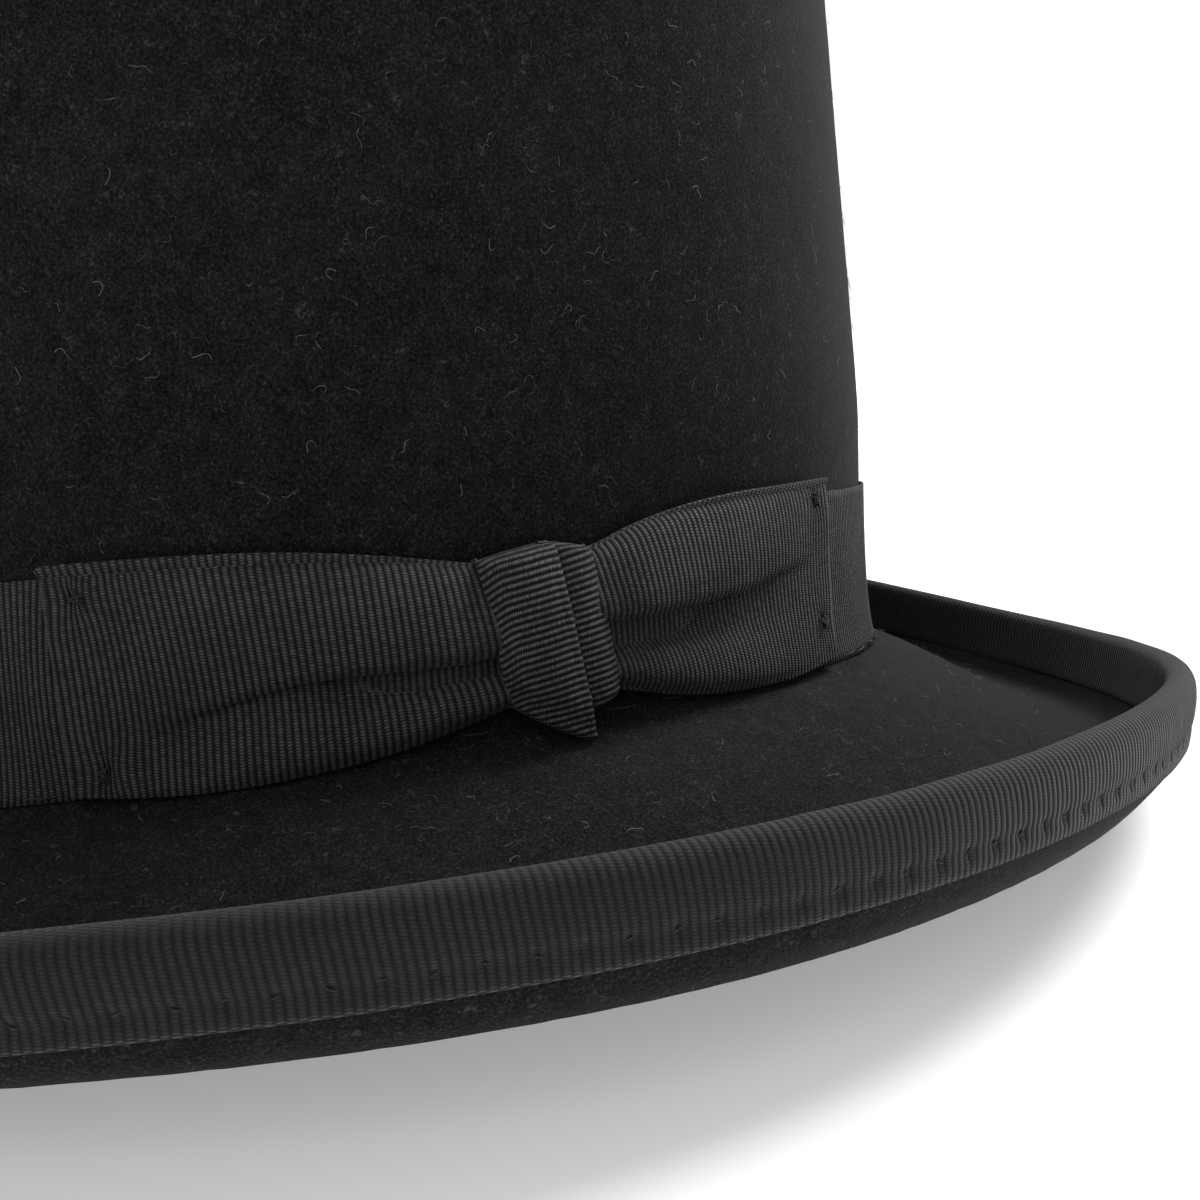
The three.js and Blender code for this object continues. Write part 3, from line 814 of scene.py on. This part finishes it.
def crown_band():
    """The ribbon round the crown's foot."""
    ribs = int(round(BASE_ROUND / RIB))
    columns = ribs * RIB_STEPS
    run = np.arange(columns + 1) * BASE_ROUND / columns
    weave = np.arange(columns + 1) * RIB / RIB_STEPS
    rows = 22
    share = np.linspace(0, 1, rows)
    wave, fine = Noise(41), Noise(42)
    u = weave[:-1, None]
    sway = 0.22 * wave(u / 19, 0 * u + 3.1)
    edge = rib_profile(u, RIB) * 0.10
    top, bottom = drawn_in(run[:-1, None])
    up = mix(top + sway + edge, bottom - edge, share[None])
    pinch = hill(from_knot(run[:-1, None]) - PINCH_AT, 7)
    squeeze = 1.6 * pinch * np.sin(math.pi * share[None])
    loose = np.clip(0.16 * wave(u / 11, share[None] * 2.2, 1.7), -0.1, 0.3)
    off = GAP + RIBBON * 0.75 + loose
    grid = on_crown(angle_at(run[:-1, None] - squeeze), up, off)
    normal = surface_normals(grid)
    height = 0.15 * rib_profile(u, RIB) * (0.85 + 0.15 * fine(u, share[None] * 9))
    v = share * (BAND_TOP - BAND_BOTTOM)
    piece = ribbon(grid, normal, height, RIBBON * 0.45, weave, v, [0, 7, 14, rows - 1])
    obj = piece.build("crown_band", GROSGRAIN, "band_ribbon", ["hat_band"])


def band_stitches():
    """Running stitches along the band's lower edge."""
    piece = Piece()
    chance = np.random.RandomState(51)
    every, reach = 8.4, 2.2
    for k in range(int(BASE_ROUND / every)):
        middle = (k + 0.5 + chance.uniform(-0.15, 0.15)) * every
        half = reach * chance.uniform(0.75, 1.1)
        t = np.linspace(-1, 1, 9)
        angle = angle_at(middle + half * t)
        off = 1.02 + 0.28 * (1 - t**4) - 0.35 * (np.abs(t) > 0.95)
        up = BAND_BOTTOM + 0.75 + chance.uniform(-0.2, 0.2) + 0.3 * t * chance.uniform(-1, 1)
        piece.tube(on_crown(angle, up, off), 0.13)
    piece.build("band_stitches", THREAD, "thread", ["band_thread"])


# ================================================================ the bow

LEFT_END, RIGHT_END = 65.3, 61.6  # the bow's reach on each side of the knot, towards the front and back
BOW_WIDTH = 30.4  # of its ribbon
BOW_ROWS = 84
END_RADIUS = 0.9  # of the folds at the bow's ends
END_BEND = np.linspace(0, math.pi, 10)[1:-1]

LEFT_WING = {
    "at": [0, 8, 15, 24, 35, 48, 59, 66],
    "top": [25.0, 25.4, 26.7, 28.5, 30.2, 31.3, 31.8, 32.0],
    "bottom": [6.6, 5.2, 3.4, 1.5, 0.4, 0.2, 1.0, 1.8],
    "crease": [14.0, 13.6, 13.5, 13.5, 13.2, 10.8, 9.4, 9.0],
    "lip": [0.1, 0.2, 0.45, 0.9, 1.2, 1.35, 1.45, 1.45],
}
RIGHT_WING = {
    "at": [0, 8, 15, 24, 35, 48, 60, 66],
    "top": [25.0, 26.2, 28.4, 30.4, 31.6, 32.1, 32.5, 32.6],
    "bottom": [6.6, 5.0, 3.2, 1.7, 1.0, 1.1, 2.2, 2.6],
    "crease": [15.0, 16.0, 16.1, 16.3, 16.8, 19.0, 20.4, 21.0],
    "lip": [0.1, 0.15, 0.2, 0.3, 0.4, 0.5, 0.5, 0.5],
}


def wing(along, what):
    """One of the wings' curves at places along the bow, negative along being the front wing."""
    far = np.abs(along)
    front = smooth_through(LEFT_WING["at"], LEFT_WING[what], far)
    back = smooth_through(RIGHT_WING["at"], RIGHT_WING[what], far)
    return mix(front, back, smoothstep(along, -4, 4))


def fold_depth(along):
    """How strongly the front layer is gathered: full just outside the knot, none at the bow's ends."""
    far = np.abs(along)
    swell = mix(0.72, 1.0, smoothstep(far, 8, 16))
    return swell * np.clip(1 - (far - 10) / 46, 0, 1)


def even_rows(control, rows):
    """Smooth lines through control points (columns, points, 2), read at even distances."""
    control = control.transpose(1, 0, 2)
    stations = mean_run(control)
    dense = smooth_through(stations, control, np.linspace(0, stations[-1], rows * 6))
    dense = dense.transpose(1, 0, 2)
    result = np.empty((len(dense), rows, 2))
    for k, line in enumerate(dense):
        run = distance_run(line)
        at = np.linspace(0, run[-1], rows)
        result[k] = np.stack([np.interp(at, run, line[:, n]) for n in range(2)], -1)
    return result


TACKS = {
    "tack_front_top": (-61.8, 27.4),
    "tack_front_bottom": (-60.6, 4.6),
    "tack_back_top": (57.2, 29.0),
    "tack_back_bottom": (57.9, 8.8),
}


def tack_pull(along, up):
    """How far the tacks pull the ribbon's face in and its ribs towards them, at points of the bow."""
    dip, shift = 0, 0
    for at, rise in TACKS.values():
        across, upward = along - at, up - rise
        dip = dip + 0.75 * np.exp(-(across / 1.5) ** 2 - (upward / 1.3) ** 2)
        shift = shift - 0.45 * across * np.exp(-(across / 3.2) ** 2 - (upward / 3.0) ** 2)
    return dip, shift


def front_layer(along, rows):
    """(up, off) across the bow's front layer: a full upper lobe over a crease, and a lower lobe."""
    top = wing(along, "top") - wing(along, "lip")
    bottom, crease = wing(along, "bottom"), wing(along, "crease")
    upper, lower = top - crease, crease - bottom
    fold = fold_depth(along)
    ends = smoothstep(np.abs(along), 54, 64)
    flat = [(top, 1.0), (top - 0.05 * upper, 1.4), (top - 0.28 * upper, 1.95), (top - 0.58 * upper, 2.05),
            (top - 0.80 * upper, 2.0), (crease + 0.9, 1.95), (crease + 0.3, 1.9), (crease - 0.3, 1.9),
            (crease - 0.9, 1.9), (crease - 1.5, 1.9), (crease - 2.3, 1.9), (crease - 0.38 * lower, 1.95),
            (crease - 0.62 * lower, 1.95), (crease - 0.92 * lower, 1.75), (bottom, 1.5)]
    full = [(top, 1.2), (top - 0.06 * upper, 2.6), (top - 0.26 * upper, 4.5), (top - 0.55 * upper, 5.8),
            (top - 0.82 * upper, 6.1), (crease + 0.1, 5.6), (crease - 1.0, 4.4), (crease - 0.7, 2.9),
            (crease + 1.4, 1.5), (crease + 0.6, 0.35), (crease - 2.5, 0.2), (crease - 0.37 * lower, 1.0),
            (crease - 0.46 * lower, 3.1), (crease - 0.82 * lower, 3.5), (bottom, 1.3)]
    points = []
    for (up_flat, off_flat), (up_full, off_full) in zip(flat, full):
        off = mix(off_flat, off_full, fold) + 0.1 * ends
        points.append(np.stack([mix(up_flat, up_full, fold), BAND_FACE + off], -1))
    return even_rows(np.stack(points, 1), rows)


def back_layer(along, rows):
    """(up, off) across the bow's back layer, which lies flat on the band and shows above the front one."""
    top, bottom = wing(along, "top"), wing(along, "bottom") + 0.5
    lift = 0.9 * (1 - smoothstep(np.abs(along), 8, 30))
    share = np.linspace(0, 1, rows)[None]
    up = mix(top[:, None], bottom[:, None], share)
    curl = 1.35 * hill(share * BOW_WIDTH, 1.5) * smoothstep(np.abs(along), 12, 30)[:, None]
    off = BAND_FACE + 0.45 + lift[:, None] + curl
    return np.stack([up, off], -1)


def bow_end(one, other, end, way):
    """The fold at an end of the bow, from one layer's section round to the other's."""
    share = (1 - np.cos(END_BEND)) / 2
    return end + way * END_RADIUS * np.sin(END_BEND), mix(one[None], other[None], share[:, None, None])


def bow_sections():
    """Round both layers of the bow: places along it, (up, off) across it there, the run of its ribbon,
    and how many of the places are the front layer's."""
    front_along = np.arange(-LEFT_END, RIGHT_END, RIB / RIB_STEPS)
    back_along = np.arange(RIGHT_END, -LEFT_END, -RIB / 2)
    front, back = front_layer(front_along, BOW_ROWS), back_layer(back_along, BOW_ROWS)
    right_along, right = bow_end(front[-1], back[0], RIGHT_END, 1)
    left_along, left = bow_end(back[-1], front[0], -LEFT_END, -1)
    along = np.concatenate([front_along, right_along, back_along, left_along])
    fold = np.full(len(END_BEND), END_RADIUS * math.pi / 9)
    steps = [np.full(len(front_along), RIB / RIB_STEPS), fold, np.full(len(back_along), RIB / 2), fold]
    run = np.concatenate([[0], np.cumsum(np.concatenate(steps))])
    return along[:, None], np.concatenate([front, right, back, left]), run, len(front_along)


def bow():
    """The folded ribbon of both wings. Its front layer has pleats, slack, dents at the tacks and lean."""
    along, section, run, front_count = bow_sections()
    is_front = (np.arange(len(along)) < front_count)[:, None]
    share = np.linspace(0, 1, BOW_ROWS)[None]
    wave, fine = Noise(61), Noise(62)
    near = np.exp(-np.maximum(np.abs(along) - 9, 0) / 15)
    # small soft pleats that fan out from the knot, and a little slack everywhere else
    fan = np.sin(share * 23 + 2.4 * wave(along / 30, share * 3)) * near
    slack = 0.22 * wave(along / 12, share * 2.5, 4.4) * (1 - near)
    section[..., 1] += (0.14 * fan + slack) * is_front
    dip, shift = tack_pull(along, section[..., 0])
    section[..., 1] -= dip * is_front
    up, off = section[..., 0], section[..., 1]
    # the ribs lean towards the front at the top of the front wing, most of all at its end
    front_end = smoothstep(-along, 50, LEFT_END)
    sway = -0.013 * np.maximum(up - 8, 0) ** 1.7 * smoothstep(-along, 15, 50)
    leaning = knot_lean(up) * near + shift + sway * (1 - front_end)
    place = along + leaning * is_front - (up - 17) / 15 * front_end
    grid = on_crown(angle_at(place), up, off)
    normal = surface_normals(grid, np.s_[:front_count])
    ribs = rib_profile(run[:-1, None], RIB) * (0.85 + 0.15 * fine(run[:-1, None], share * 9))
    selvedge = hill(share * BOW_WIDTH, 0.5) + hill((1 - share) * BOW_WIDTH, 0.5)
    back_rows = np.linspace(0, BOW_ROWS - 1, 28).astype(int)
    height = 0.16 * ribs + 0.07 * selvedge
    piece = ribbon(grid, normal, height, RIBBON * 0.6, run, share[0] * BOW_WIDTH, back_rows)
    obj = piece.build("bow_ribbon", GROSGRAIN, "band_ribbon", ["bow_loop"])


# The knot's section from left to right: place along the band at its top, distance off the crown.
KNOT_SECTION = [(-9.6, 4.3), (-10.1, 5.2), (-9.4, 6.5), (-7.4, 7.5), (-4.7, 7.9), (-2.1, 7.8), (-0.3, 7.4),
                (0.75, 6.95), (0.7, 6.4), (-0.7, 6.05), (0.5, 6.0), (2.1, 6.5), (3.9, 6.6), (5.5, 6.2),
                (6.6, 5.4), (6.55, 4.6)]
KNOT_FRONT = int(round(26 / KNOT_RIB)) * 8  # mesh rows down its front, 8 to a rib
KNOT_TOP = 27.0
KNOT_SLANT = 3.3 / 22  # how far the knot moves back along the band as it goes down


def knot_lean(up):
    """How far back along the band the knot has moved at a height."""
    return KNOT_SLANT * (KNOT_TOP - up)


def knot_loops():
    """(up, off, run) round the knot's ribbon and (place, v, pleat) across it: places along the band,
    cloth coordinates, and the column of the lengthwise pleat. run is the distance down the ribbon."""
    rows = 76
    place, front_off = even_rows(np.array([KNOT_SECTION]), rows)[0].T
    v = distance_run(np.stack([place, front_off], -1))
    pleat = int(np.argmax(place[:rows * 2 // 3] > 0.65))
    top = smooth_through([-10.5, -4.6, 0.6, 6.4], [25.8, 26.9, 27.4, 26.3], place)
    left_bottom = smooth_through([-10.5, -6.1, -2.6, 0.6], [5.9, 2.6, 0.4, -1.2], place)
    right_bottom = smooth_through([-1.0, 1.0, 4.0, 6.4], [2.6, 3.0, 3.8, 4.7], np.maximum(place, -1.0))
    on_right = smoothstep(v, v[pleat] + 0.2, v[pleat] + 1.4)
    low = mix(left_bottom, right_bottom, on_right)
    radius, top_radius = 1.2, 0.7
    down = np.linspace(0, 1, KNOT_FRONT)[:, None]
    front_up = mix(top - top_radius, low + radius, down)
    sag = 1.0 * np.abs(2 * down - 1) ** 3 + 0.8 * smoothstep(down, 0.8, 1) * (1 - on_right)
    front_off = front_off - sag
    back_off = BAND_FACE + 0.45
    bend = np.linspace(0, math.pi, 18)[1:-1, None]

    def roll(near_off, level, reach):
        middle, half = (near_off + back_off) / 2, (near_off - back_off) / 2
        return level + reach * np.sin(bend), middle + half * np.cos(bend)

    bottom_up, bottom_off = roll(front_off[-1], low + radius, -radius)
    top_up, top_off = roll(front_off[0], top - top_radius, top_radius)
    back_count = 60
    back_up = mix(low + radius, top - top_radius, np.linspace(0, 1, back_count)[:, None])
    up = np.concatenate([front_up, bottom_up, back_up, top_up[::-1]])
    off = np.concatenate([front_off, bottom_off, back_off + 0 * back_up, top_off[::-1]])
    rise = 0.36 * np.maximum(place - 0.6, 0) * on_right
    shoulder = 0.16 * np.clip(-7.4 - place, 0, 3) ** 2
    front_run = top + rise - shoulder - front_up
    bottom_run = front_run[-1] + radius * bend
    back_run = bottom_run[-1] + np.linspace(0.3, 22, back_count)[:, None] + 0 * place
    top_run = front_run[0] - radius * bend[::-1]
    run = np.concatenate([front_run, bottom_run, back_run, top_run, front_run[:1]]) + 10
    return up, off, run, place, v, pleat


def bow_knot():
    """The ribbon wrapped round the bow's middle. A lengthwise pleat parts it into a wide left panel,
    folded under along a slope below, and a narrow right one behind it whose ribs rise to the right."""
    up, off, run, place, v, pleat = knot_loops()
    wave, fine = Noise(71), Noise(72)
    off = off + 0.12 * wave(up / 7, place[None] / 5)
    grid = on_crown(angle_at(place[None] + knot_lean(up)), up, off)
    normal = surface_normals(grid, np.s_[:KNOT_FRONT])
    edge = sum(hill(v - at, 0.35) for at in (0.3, v[pleat] - 0.5, v[-1] - 0.3))
    groove = hill(v - v[pleat] + 1.25, 0.22)
    ribs = rib_profile(run[:-1], KNOT_RIB) * (0.85 + 0.15 * fine(run[:-1], v[None] / 2))
    height = 0.24 * ribs * (1 - 0.4 * edge[None]) + 0.08 * edge[None] - 0.12 * groove[None]
    run = np.concatenate([run, run[:, ::-1], run[:, :1]], 1)
    piece = ribbon(grid, normal, height, RIBBON * 0.55, run, v)
    obj = piece.build("bow_knot_ribbon", KNOT_GROSGRAIN_HIGHLIGHTED, "band_ribbon", ["bow_knot"])


def bow_tack(name, along, up, seed):
    """Crossing stitches that pull a corner of the bow in, with a loose end at the lower corners."""
    piece = Piece()
    chance = np.random.RandomState(seed)
    base = BAND_FACE + 1.75
    for k in range(4):
        t = np.linspace(-1, 1, 9)
        turn = chance.uniform(-0.6, 0.6) + (math.pi / 2 if k % 2 else 0)
        half = chance.uniform(0.7, 1.3)
        path_along = along + chance.uniform(-0.4, 0.4) + half * t * math.sin(turn)
        path_up = up + chance.uniform(-0.3, 0.3) + half * t * math.cos(turn)
        off = base + 0.45 + 0.3 * (1 - t**2) - 0.3 * t**6
        piece.tube(on_crown(angle_at(path_along), path_up, off), 0.16)
    for k in range(3 if "bottom" in name else 1):
        t = np.linspace(0, 1, 12)
        path_along = along + chance.uniform(-1.2, 1.2) * t + 0.4 * np.sin(3 * t + k)
        path_up = up - chance.uniform(1.2, 2.4) * t + 0.5 * t**2
        off = base + 0.5 + 0.8 * np.sin(math.pi * t) * chance.uniform(0.4, 1)
        piece.tube(on_crown(angle_at(path_along), path_up, off), 0.12 * (1 - 0.5 * t), 5)
    piece.build(name, THREAD, "thread", ["bow_" + name])


# ================================================================ inside the crown

def crown_wall(angle, ups, face_off, back_off):
    """A piece of thin wall round the crown, given rows from its top down and both faces' distances off."""
    face, back = on_crown(angle, ups, face_off), on_crown(angle, ups, back_off)
    return Piece().add_wall(face, back, True, round_run(len(angle)), ups[0, 0] - ups[0])


def side_lining():
    """Satin, gathered a little at its upper edge, with soft upright folds."""
    share = np.linspace(0, 1, 26)[None]
    angle = even_angles(560)[:, None]
    top = CROWN_HEIGHT - TIP_RADIUS - 4
    ups = mix(top, 16.0, share) + 0 * angle
    wave = Noise(81)
    folds = np.abs(wave(angle * 22, share * 1.3)) ** 0.7 + 0.5 * np.abs(wave(angle * 60, share * 2, 7.0))
    depth = 0.9 * folds * smoothstep(ups, 36, 60) * (1 - 0.6 * smoothstep(ups, 118, 127))
    piece = crown_wall(angle, ups, WALL - 0.1 - depth, WALL - 0.5 - depth)
    obj = piece.build("side_lining", SATIN, "satin", ["lining_side"])


def tip_lining():
    """The oval of satin under the tip."""
    columns, rings = 240, 22
    angle = even_angles(columns)
    share = np.concatenate([[POLE], np.linspace(0.05, 1, rings - 1)])
    wave = Noise(91)
    upper = np.stack(oval_rows(angle, CROWN_HEIGHT - CROWN_FELT - GAP, WALL - TIP_RADIUS - 2, share), 1)
    sag = 0.7 * (1 - share[None] ** 2) + 0.25 * wave(upper[..., 0] / 17, upper[..., 1] / 17)
    puckers = 0.25 * np.sin(angle[:, None] * 46) * share[None] ** 6
    upper[..., 2] -= np.maximum(sag + puckers, 0) * (share[None] < 0.999)
    lower = upper.copy()
    lower[..., 2] -= 0.35
    piece = Piece().add_wall(upper, lower, True, round_run(columns), share * 90)
    obj = piece.build("tip_lining", SATIN, "satin", ["lining_tip"])


def leather_sweatband():
    """The leather that lies on the head, with a groove along each edge."""
    bottom = 2.4
    width = SWEATBAND_TOP - bottom
    share = np.linspace(0, 1, 24)[None]
    angle = even_angles(420)[:, None]
    wave = Noise(101)
    ups = mix(SWEATBAND_TOP + 0.3 * wave(angle * 5), bottom, share)
    lean = 0.35 * wave(angle * 7, share * 1.5)
    edge = 0.25 * (hill(share * width, 0.8) + hill((1 - share) * width, 0.8))
    groove = 0.18 * hill(ups - 6.2, 0.35) + 0.14 * hill(ups - 40.8, 0.35)
    inner = LEATHER_FACE - LEATHER + edge + groove + 0.3 * lean * smoothstep(ups, 8, 30)
    piece = crown_wall(angle, ups, LEATHER_FACE - 0.05 - edge + 0 * angle, inner)
    obj = piece.build("leather_sweatband", LEATHER_SKIN, "leather", ["sweatband"])


def sweatband_stitches():
    """The line of stitches that holds the reed's tape to the leather."""
    piece = Piece()
    every = 3.1
    chance = np.random.RandomState(111)
    for k in range(int(BASE_ROUND / every)):
        t = np.linspace(-1, 1, 7)
        angle = angle_at((k + 0.5) * every + 1.05 * t)
        off = LEATHER_FACE - LEATHER - 0.26 * (1 - t**2) + 0.3 * t**6
        piece.tube(on_crown(angle, 4.4 + chance.uniform(-0.08, 0.08), off), 0.17)
    piece.build("sweatband_stitches", THREAD, "thread", ["sweatband_thread"])


REED_OFF = LEATHER_FACE - LEATHER / 2
TAPE_WIDTH = 4.3


def reed():
    """The reed cord along the sweatband's lower edge."""
    columns, sides = 420, 12
    angle = even_angles(columns)[:, None]
    turn = np.linspace(0, TURN, sides, endpoint=False)[None]
    radius = 1.0 + 0.04 * Noise(121)(angle * 40, turn)
    loops = on_crown(angle, radius * np.sin(turn), REED_OFF + radius * np.cos(turn))
    piece = Piece().add(loops, True, round_run(columns), np.linspace(0, TURN, sides + 1))
    piece.build("reed", REED, "reed", ["sweatband_reed"])


def tape_round_reed():
    """The tape that holds the reed, puckered a little between its stitches."""
    columns, rows = 840, 12
    angle = even_angles(columns)[:, None]
    turn = np.radians(np.linspace(20, -145, rows))[None]
    pucker = 0.06 * np.sin(angle * 180) + 0.06 * Noise(131)(angle * 60, turn * 2)
    outer, inner = 1.55 + pucker, 1.3 + pucker
    sides = [on_crown(angle, r * np.sin(turn), REED_OFF + r * np.cos(turn)) for r in (outer, inner)]
    piece = Piece().add_wall(*sides, True, round_run(columns), np.linspace(0, TAPE_WIDTH, rows))
    piece.build("reed_tape_strip", TAPE, "tape", ["reed_tape"])


def at_back(x, up, off):
    """Points near the sweatband's back, x millimetres to the wearer's left of its middle."""
    return on_crown(math.pi / 2 - np.asarray(x) / HALF_WIDTH, up, off)


def back_wall(x, up, face_off, back_off, width, height):
    """A piece of thin wall there, from x, heights and distances off, and the size of its cloth."""
    face, back = at_back(x, up, face_off), at_back(x, up, back_off + 0 * face_off)
    along, across = np.linspace(0, width, face.shape[0]), np.linspace(0, height, face.shape[1])
    return Piece().add_wall(face, back, False, along, across)


PATCH_FACE = LEATHER_FACE - LEATHER - GAP  # the seam patch's outer face


def seam_patch():
    """The leather tab over the sweatband's back seam, with rounded corners and a line of stitches."""
    x = np.linspace(-1, 1, 40)[:, None]
    y = np.linspace(-1, 1, 60)[None]
    half_width = 6 * (1 - 0.12 * np.abs(y) ** 8)
    up = 24 + 16 * y * (1 - 0.02 * x**8)
    soft = 1 - np.maximum(np.abs(x) ** 10, np.abs(y) ** 26)
    inner = PATCH_FACE - 0.12 - 0.45 * soft
    piece = back_wall(x * half_width, up, inner, PATCH_FACE, 12, 32)
    patch = piece.build("seam_patch", LEATHER_SKIN, "leather", ["sweatband_seam_patch"])
    stitches = Piece()
    t = np.linspace(-1, 1, 7)
    for side in (-4.6, 4.6):
        for k in range(9):
            rise = 11.5 + k * 3.1
            off = PATCH_FACE - 0.6 - 0.2 * (1 - t**2) + 0.25 * t**6
            stitches.tube(at_back(side + 0 * t, rise + 1.05 * t, off), 0.16)
    stitches.build("seam_patch_stitches", THREAD, "thread", [])


BOW_FACE = LEATHER_FACE - LEATHER - 2 * GAP - LEATHER / 2  # the small bow's outer face
SMALL_BOW_UP = 13  # of its middle


def small_bow():
    """The narrow ribbon at the sweatband's back, in two puffed loops."""
    reach = 11
    x = np.linspace(-reach, reach, 90)[:, None]
    y = np.linspace(-1, 1, 22)[None]
    far = np.abs(x) / reach
    half = 4.1 * (0.55 + 0.45 * smoothstep(far, 0.1, 0.8)) * (1 - 0.06 * far**6)
    puff = 0.35 + 0.95 * np.sin(math.pi * np.clip(far, 0.12, 0.97)) ** 0.8
    crease = 0.25 * np.cos(y * 7.5) * np.exp(-far * 3)
    up = SMALL_BOW_UP + half * y - 0.6 * far**2
    inner = BOW_FACE - puff * (1 - 0.35 * np.abs(y) ** 4) - crease
    piece = back_wall(x, up, inner, BOW_FACE, 2 * reach, 8)
    piece.build("small_bow", GROSGRAIN, "inner_ribbon", ["sweatband_bow"])


def small_bow_knot():
    """The ribbon wrapped round the middle of the small bow."""
    columns, sides, half = 14, 36, 1.9
    t = np.linspace(0, TURN, sides, endpoint=False)[None]
    x = np.linspace(-half, half, columns)[:, None]
    up = SMALL_BOW_UP + 2.9 * np.sign(np.sin(t)) * np.abs(np.sin(t)) ** 0.8 + 0 * x
    off = BOW_FACE - 1.15 - 0.62 * np.cos(t) * (1 - 0.25 * (x / half) ** 4)
    along, across = np.linspace(0, 2 * half, columns), np.linspace(0, 14, sides + 1)
    piece = Piece().add(at_back(x, up, off), False, along, across)
    piece.build("small_bow_knot", GROSGRAIN, "inner_ribbon", ["sweatband_bow_knot"])


# ================================================================ assembly

felt_body()
felt_fibres()
stitch_line, stitch_run = rim_binding()
binding_stitches(stitch_line, stitch_run)
crown_band()
band_stitches()
bow()
bow_knot()
for seed, (name, (along, up)) in enumerate(TACKS.items()):
    bow_tack(name, along, up, 201 + seed)
side_lining()
tip_lining()
leather_sweatband()
sweatband_stitches()
reed()
tape_round_reed()
seam_patch()
small_bow()
small_bow_knot()


# ================================================================ floor, light and camera

VIEW_FROM = (270.45, -87.82, 88.32)
VIEW_TURN = 2.65814  # of the view's direction, from +X
VIEW_DOWN = 0.18964
VIEW_ROLL = -0.02882
LENS = 43.37
SKY_STRENGTH = 0.42


def view_axes():
    """The camera's directions ahead, right and up."""
    ahead = np.array([math.cos(VIEW_DOWN) * math.cos(VIEW_TURN), math.cos(VIEW_DOWN) * math.sin(VIEW_TURN),
                      -math.sin(VIEW_DOWN)])
    right = np.cross(ahead, [0, 0, 1])
    right /= np.linalg.norm(right)
    up = np.cross(right, ahead)
    c, s = math.cos(VIEW_ROLL), math.sin(VIEW_ROLL)
    return ahead, c * right + s * up, c * up - s * right


def placed(obj, position, right, up, back):
    """Links an object to the scene at a position in mm, turned to three axes."""
    rows = [[right[k], up[k], back[k], position[k] * MM] for k in range(3)]
    obj.matrix_world = Matrix(rows + [[0, 0, 0, 1]])
    bpy.context.scene.collection.objects.link(obj)
    return obj


def camera():
    """The camera that took the photo, as matched."""
    ahead, right, up = view_axes()
    data = bpy.data.cameras.new("camera")
    data.sensor_width = 36
    data.lens = LENS
    data.clip_start = 0.01
    data.clip_end = 50
    bpy.context.scene.camera = placed(bpy.data.objects.new("camera", data), VIEW_FROM, right, up, -ahead)


def soft_sun(name, source, strength, spread):
    """A broad soft light from far off in the direction of source."""
    data = bpy.data.lights.new(name, "SUN")
    data.energy = strength
    data.angle = math.radians(spread)
    back = np.array(source) / np.linalg.norm(source)
    right = np.cross([0, 0, 1], back)
    right /= np.linalg.norm(right)
    placed(bpy.data.objects.new(name, data), np.array(source) * 1000, right, np.cross(back, right), back)


def floor():
    """A pale disc just under the brim."""
    mesh = bpy.data.meshes.new("floor")
    count, radius = 96, 9.0  # radius in metres
    turns = [TURN * k / count for k in range(count)]
    rim = [(radius * math.cos(turn), radius * math.sin(turn), 0) for turn in turns]
    mesh.from_pydata([(0, 0, 0)] + rim, [], [(0, 1 + k, 1 + (k + 1) % count) for k in range(count)])
    mesh.materials.append(floor_material())
    obj = bpy.data.objects.new("floor", mesh)
    obj.location.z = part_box("felt_body")[0].z - 0.0004
    bpy.context.scene.collection.objects.link(obj)


def surroundings():
    """A white backdrop to the camera, and a dimmer even light on the object."""
    world = bpy.data.worlds.new("studio")
    world.use_nodes = True
    tree = world.node_tree
    background = tree.nodes["Background"]
    path = tree.nodes.new("ShaderNodeLightPath")
    amount = tree.nodes.new("ShaderNodeMapRange")
    tree.links.new(path.outputs["Is Camera Ray"], amount.inputs["Value"])
    amount.inputs["To Min"].default_value = SKY_STRENGTH
    amount.inputs["To Max"].default_value = 1.05
    background.inputs["Color"].default_value = (1, 1, 1, 1)
    tree.links.new(amount.outputs[0], background.inputs["Strength"])
    bpy.context.scene.world = world
    bpy.context.scene.view_settings.view_transform = "Standard"


camera()
floor()
surroundings()
soft_sun("key", (-0.12, 0.65, 0.75), 3.4, 28)
soft_sun("fill", (0.60, -0.64, 0.48), 0.72, 50)
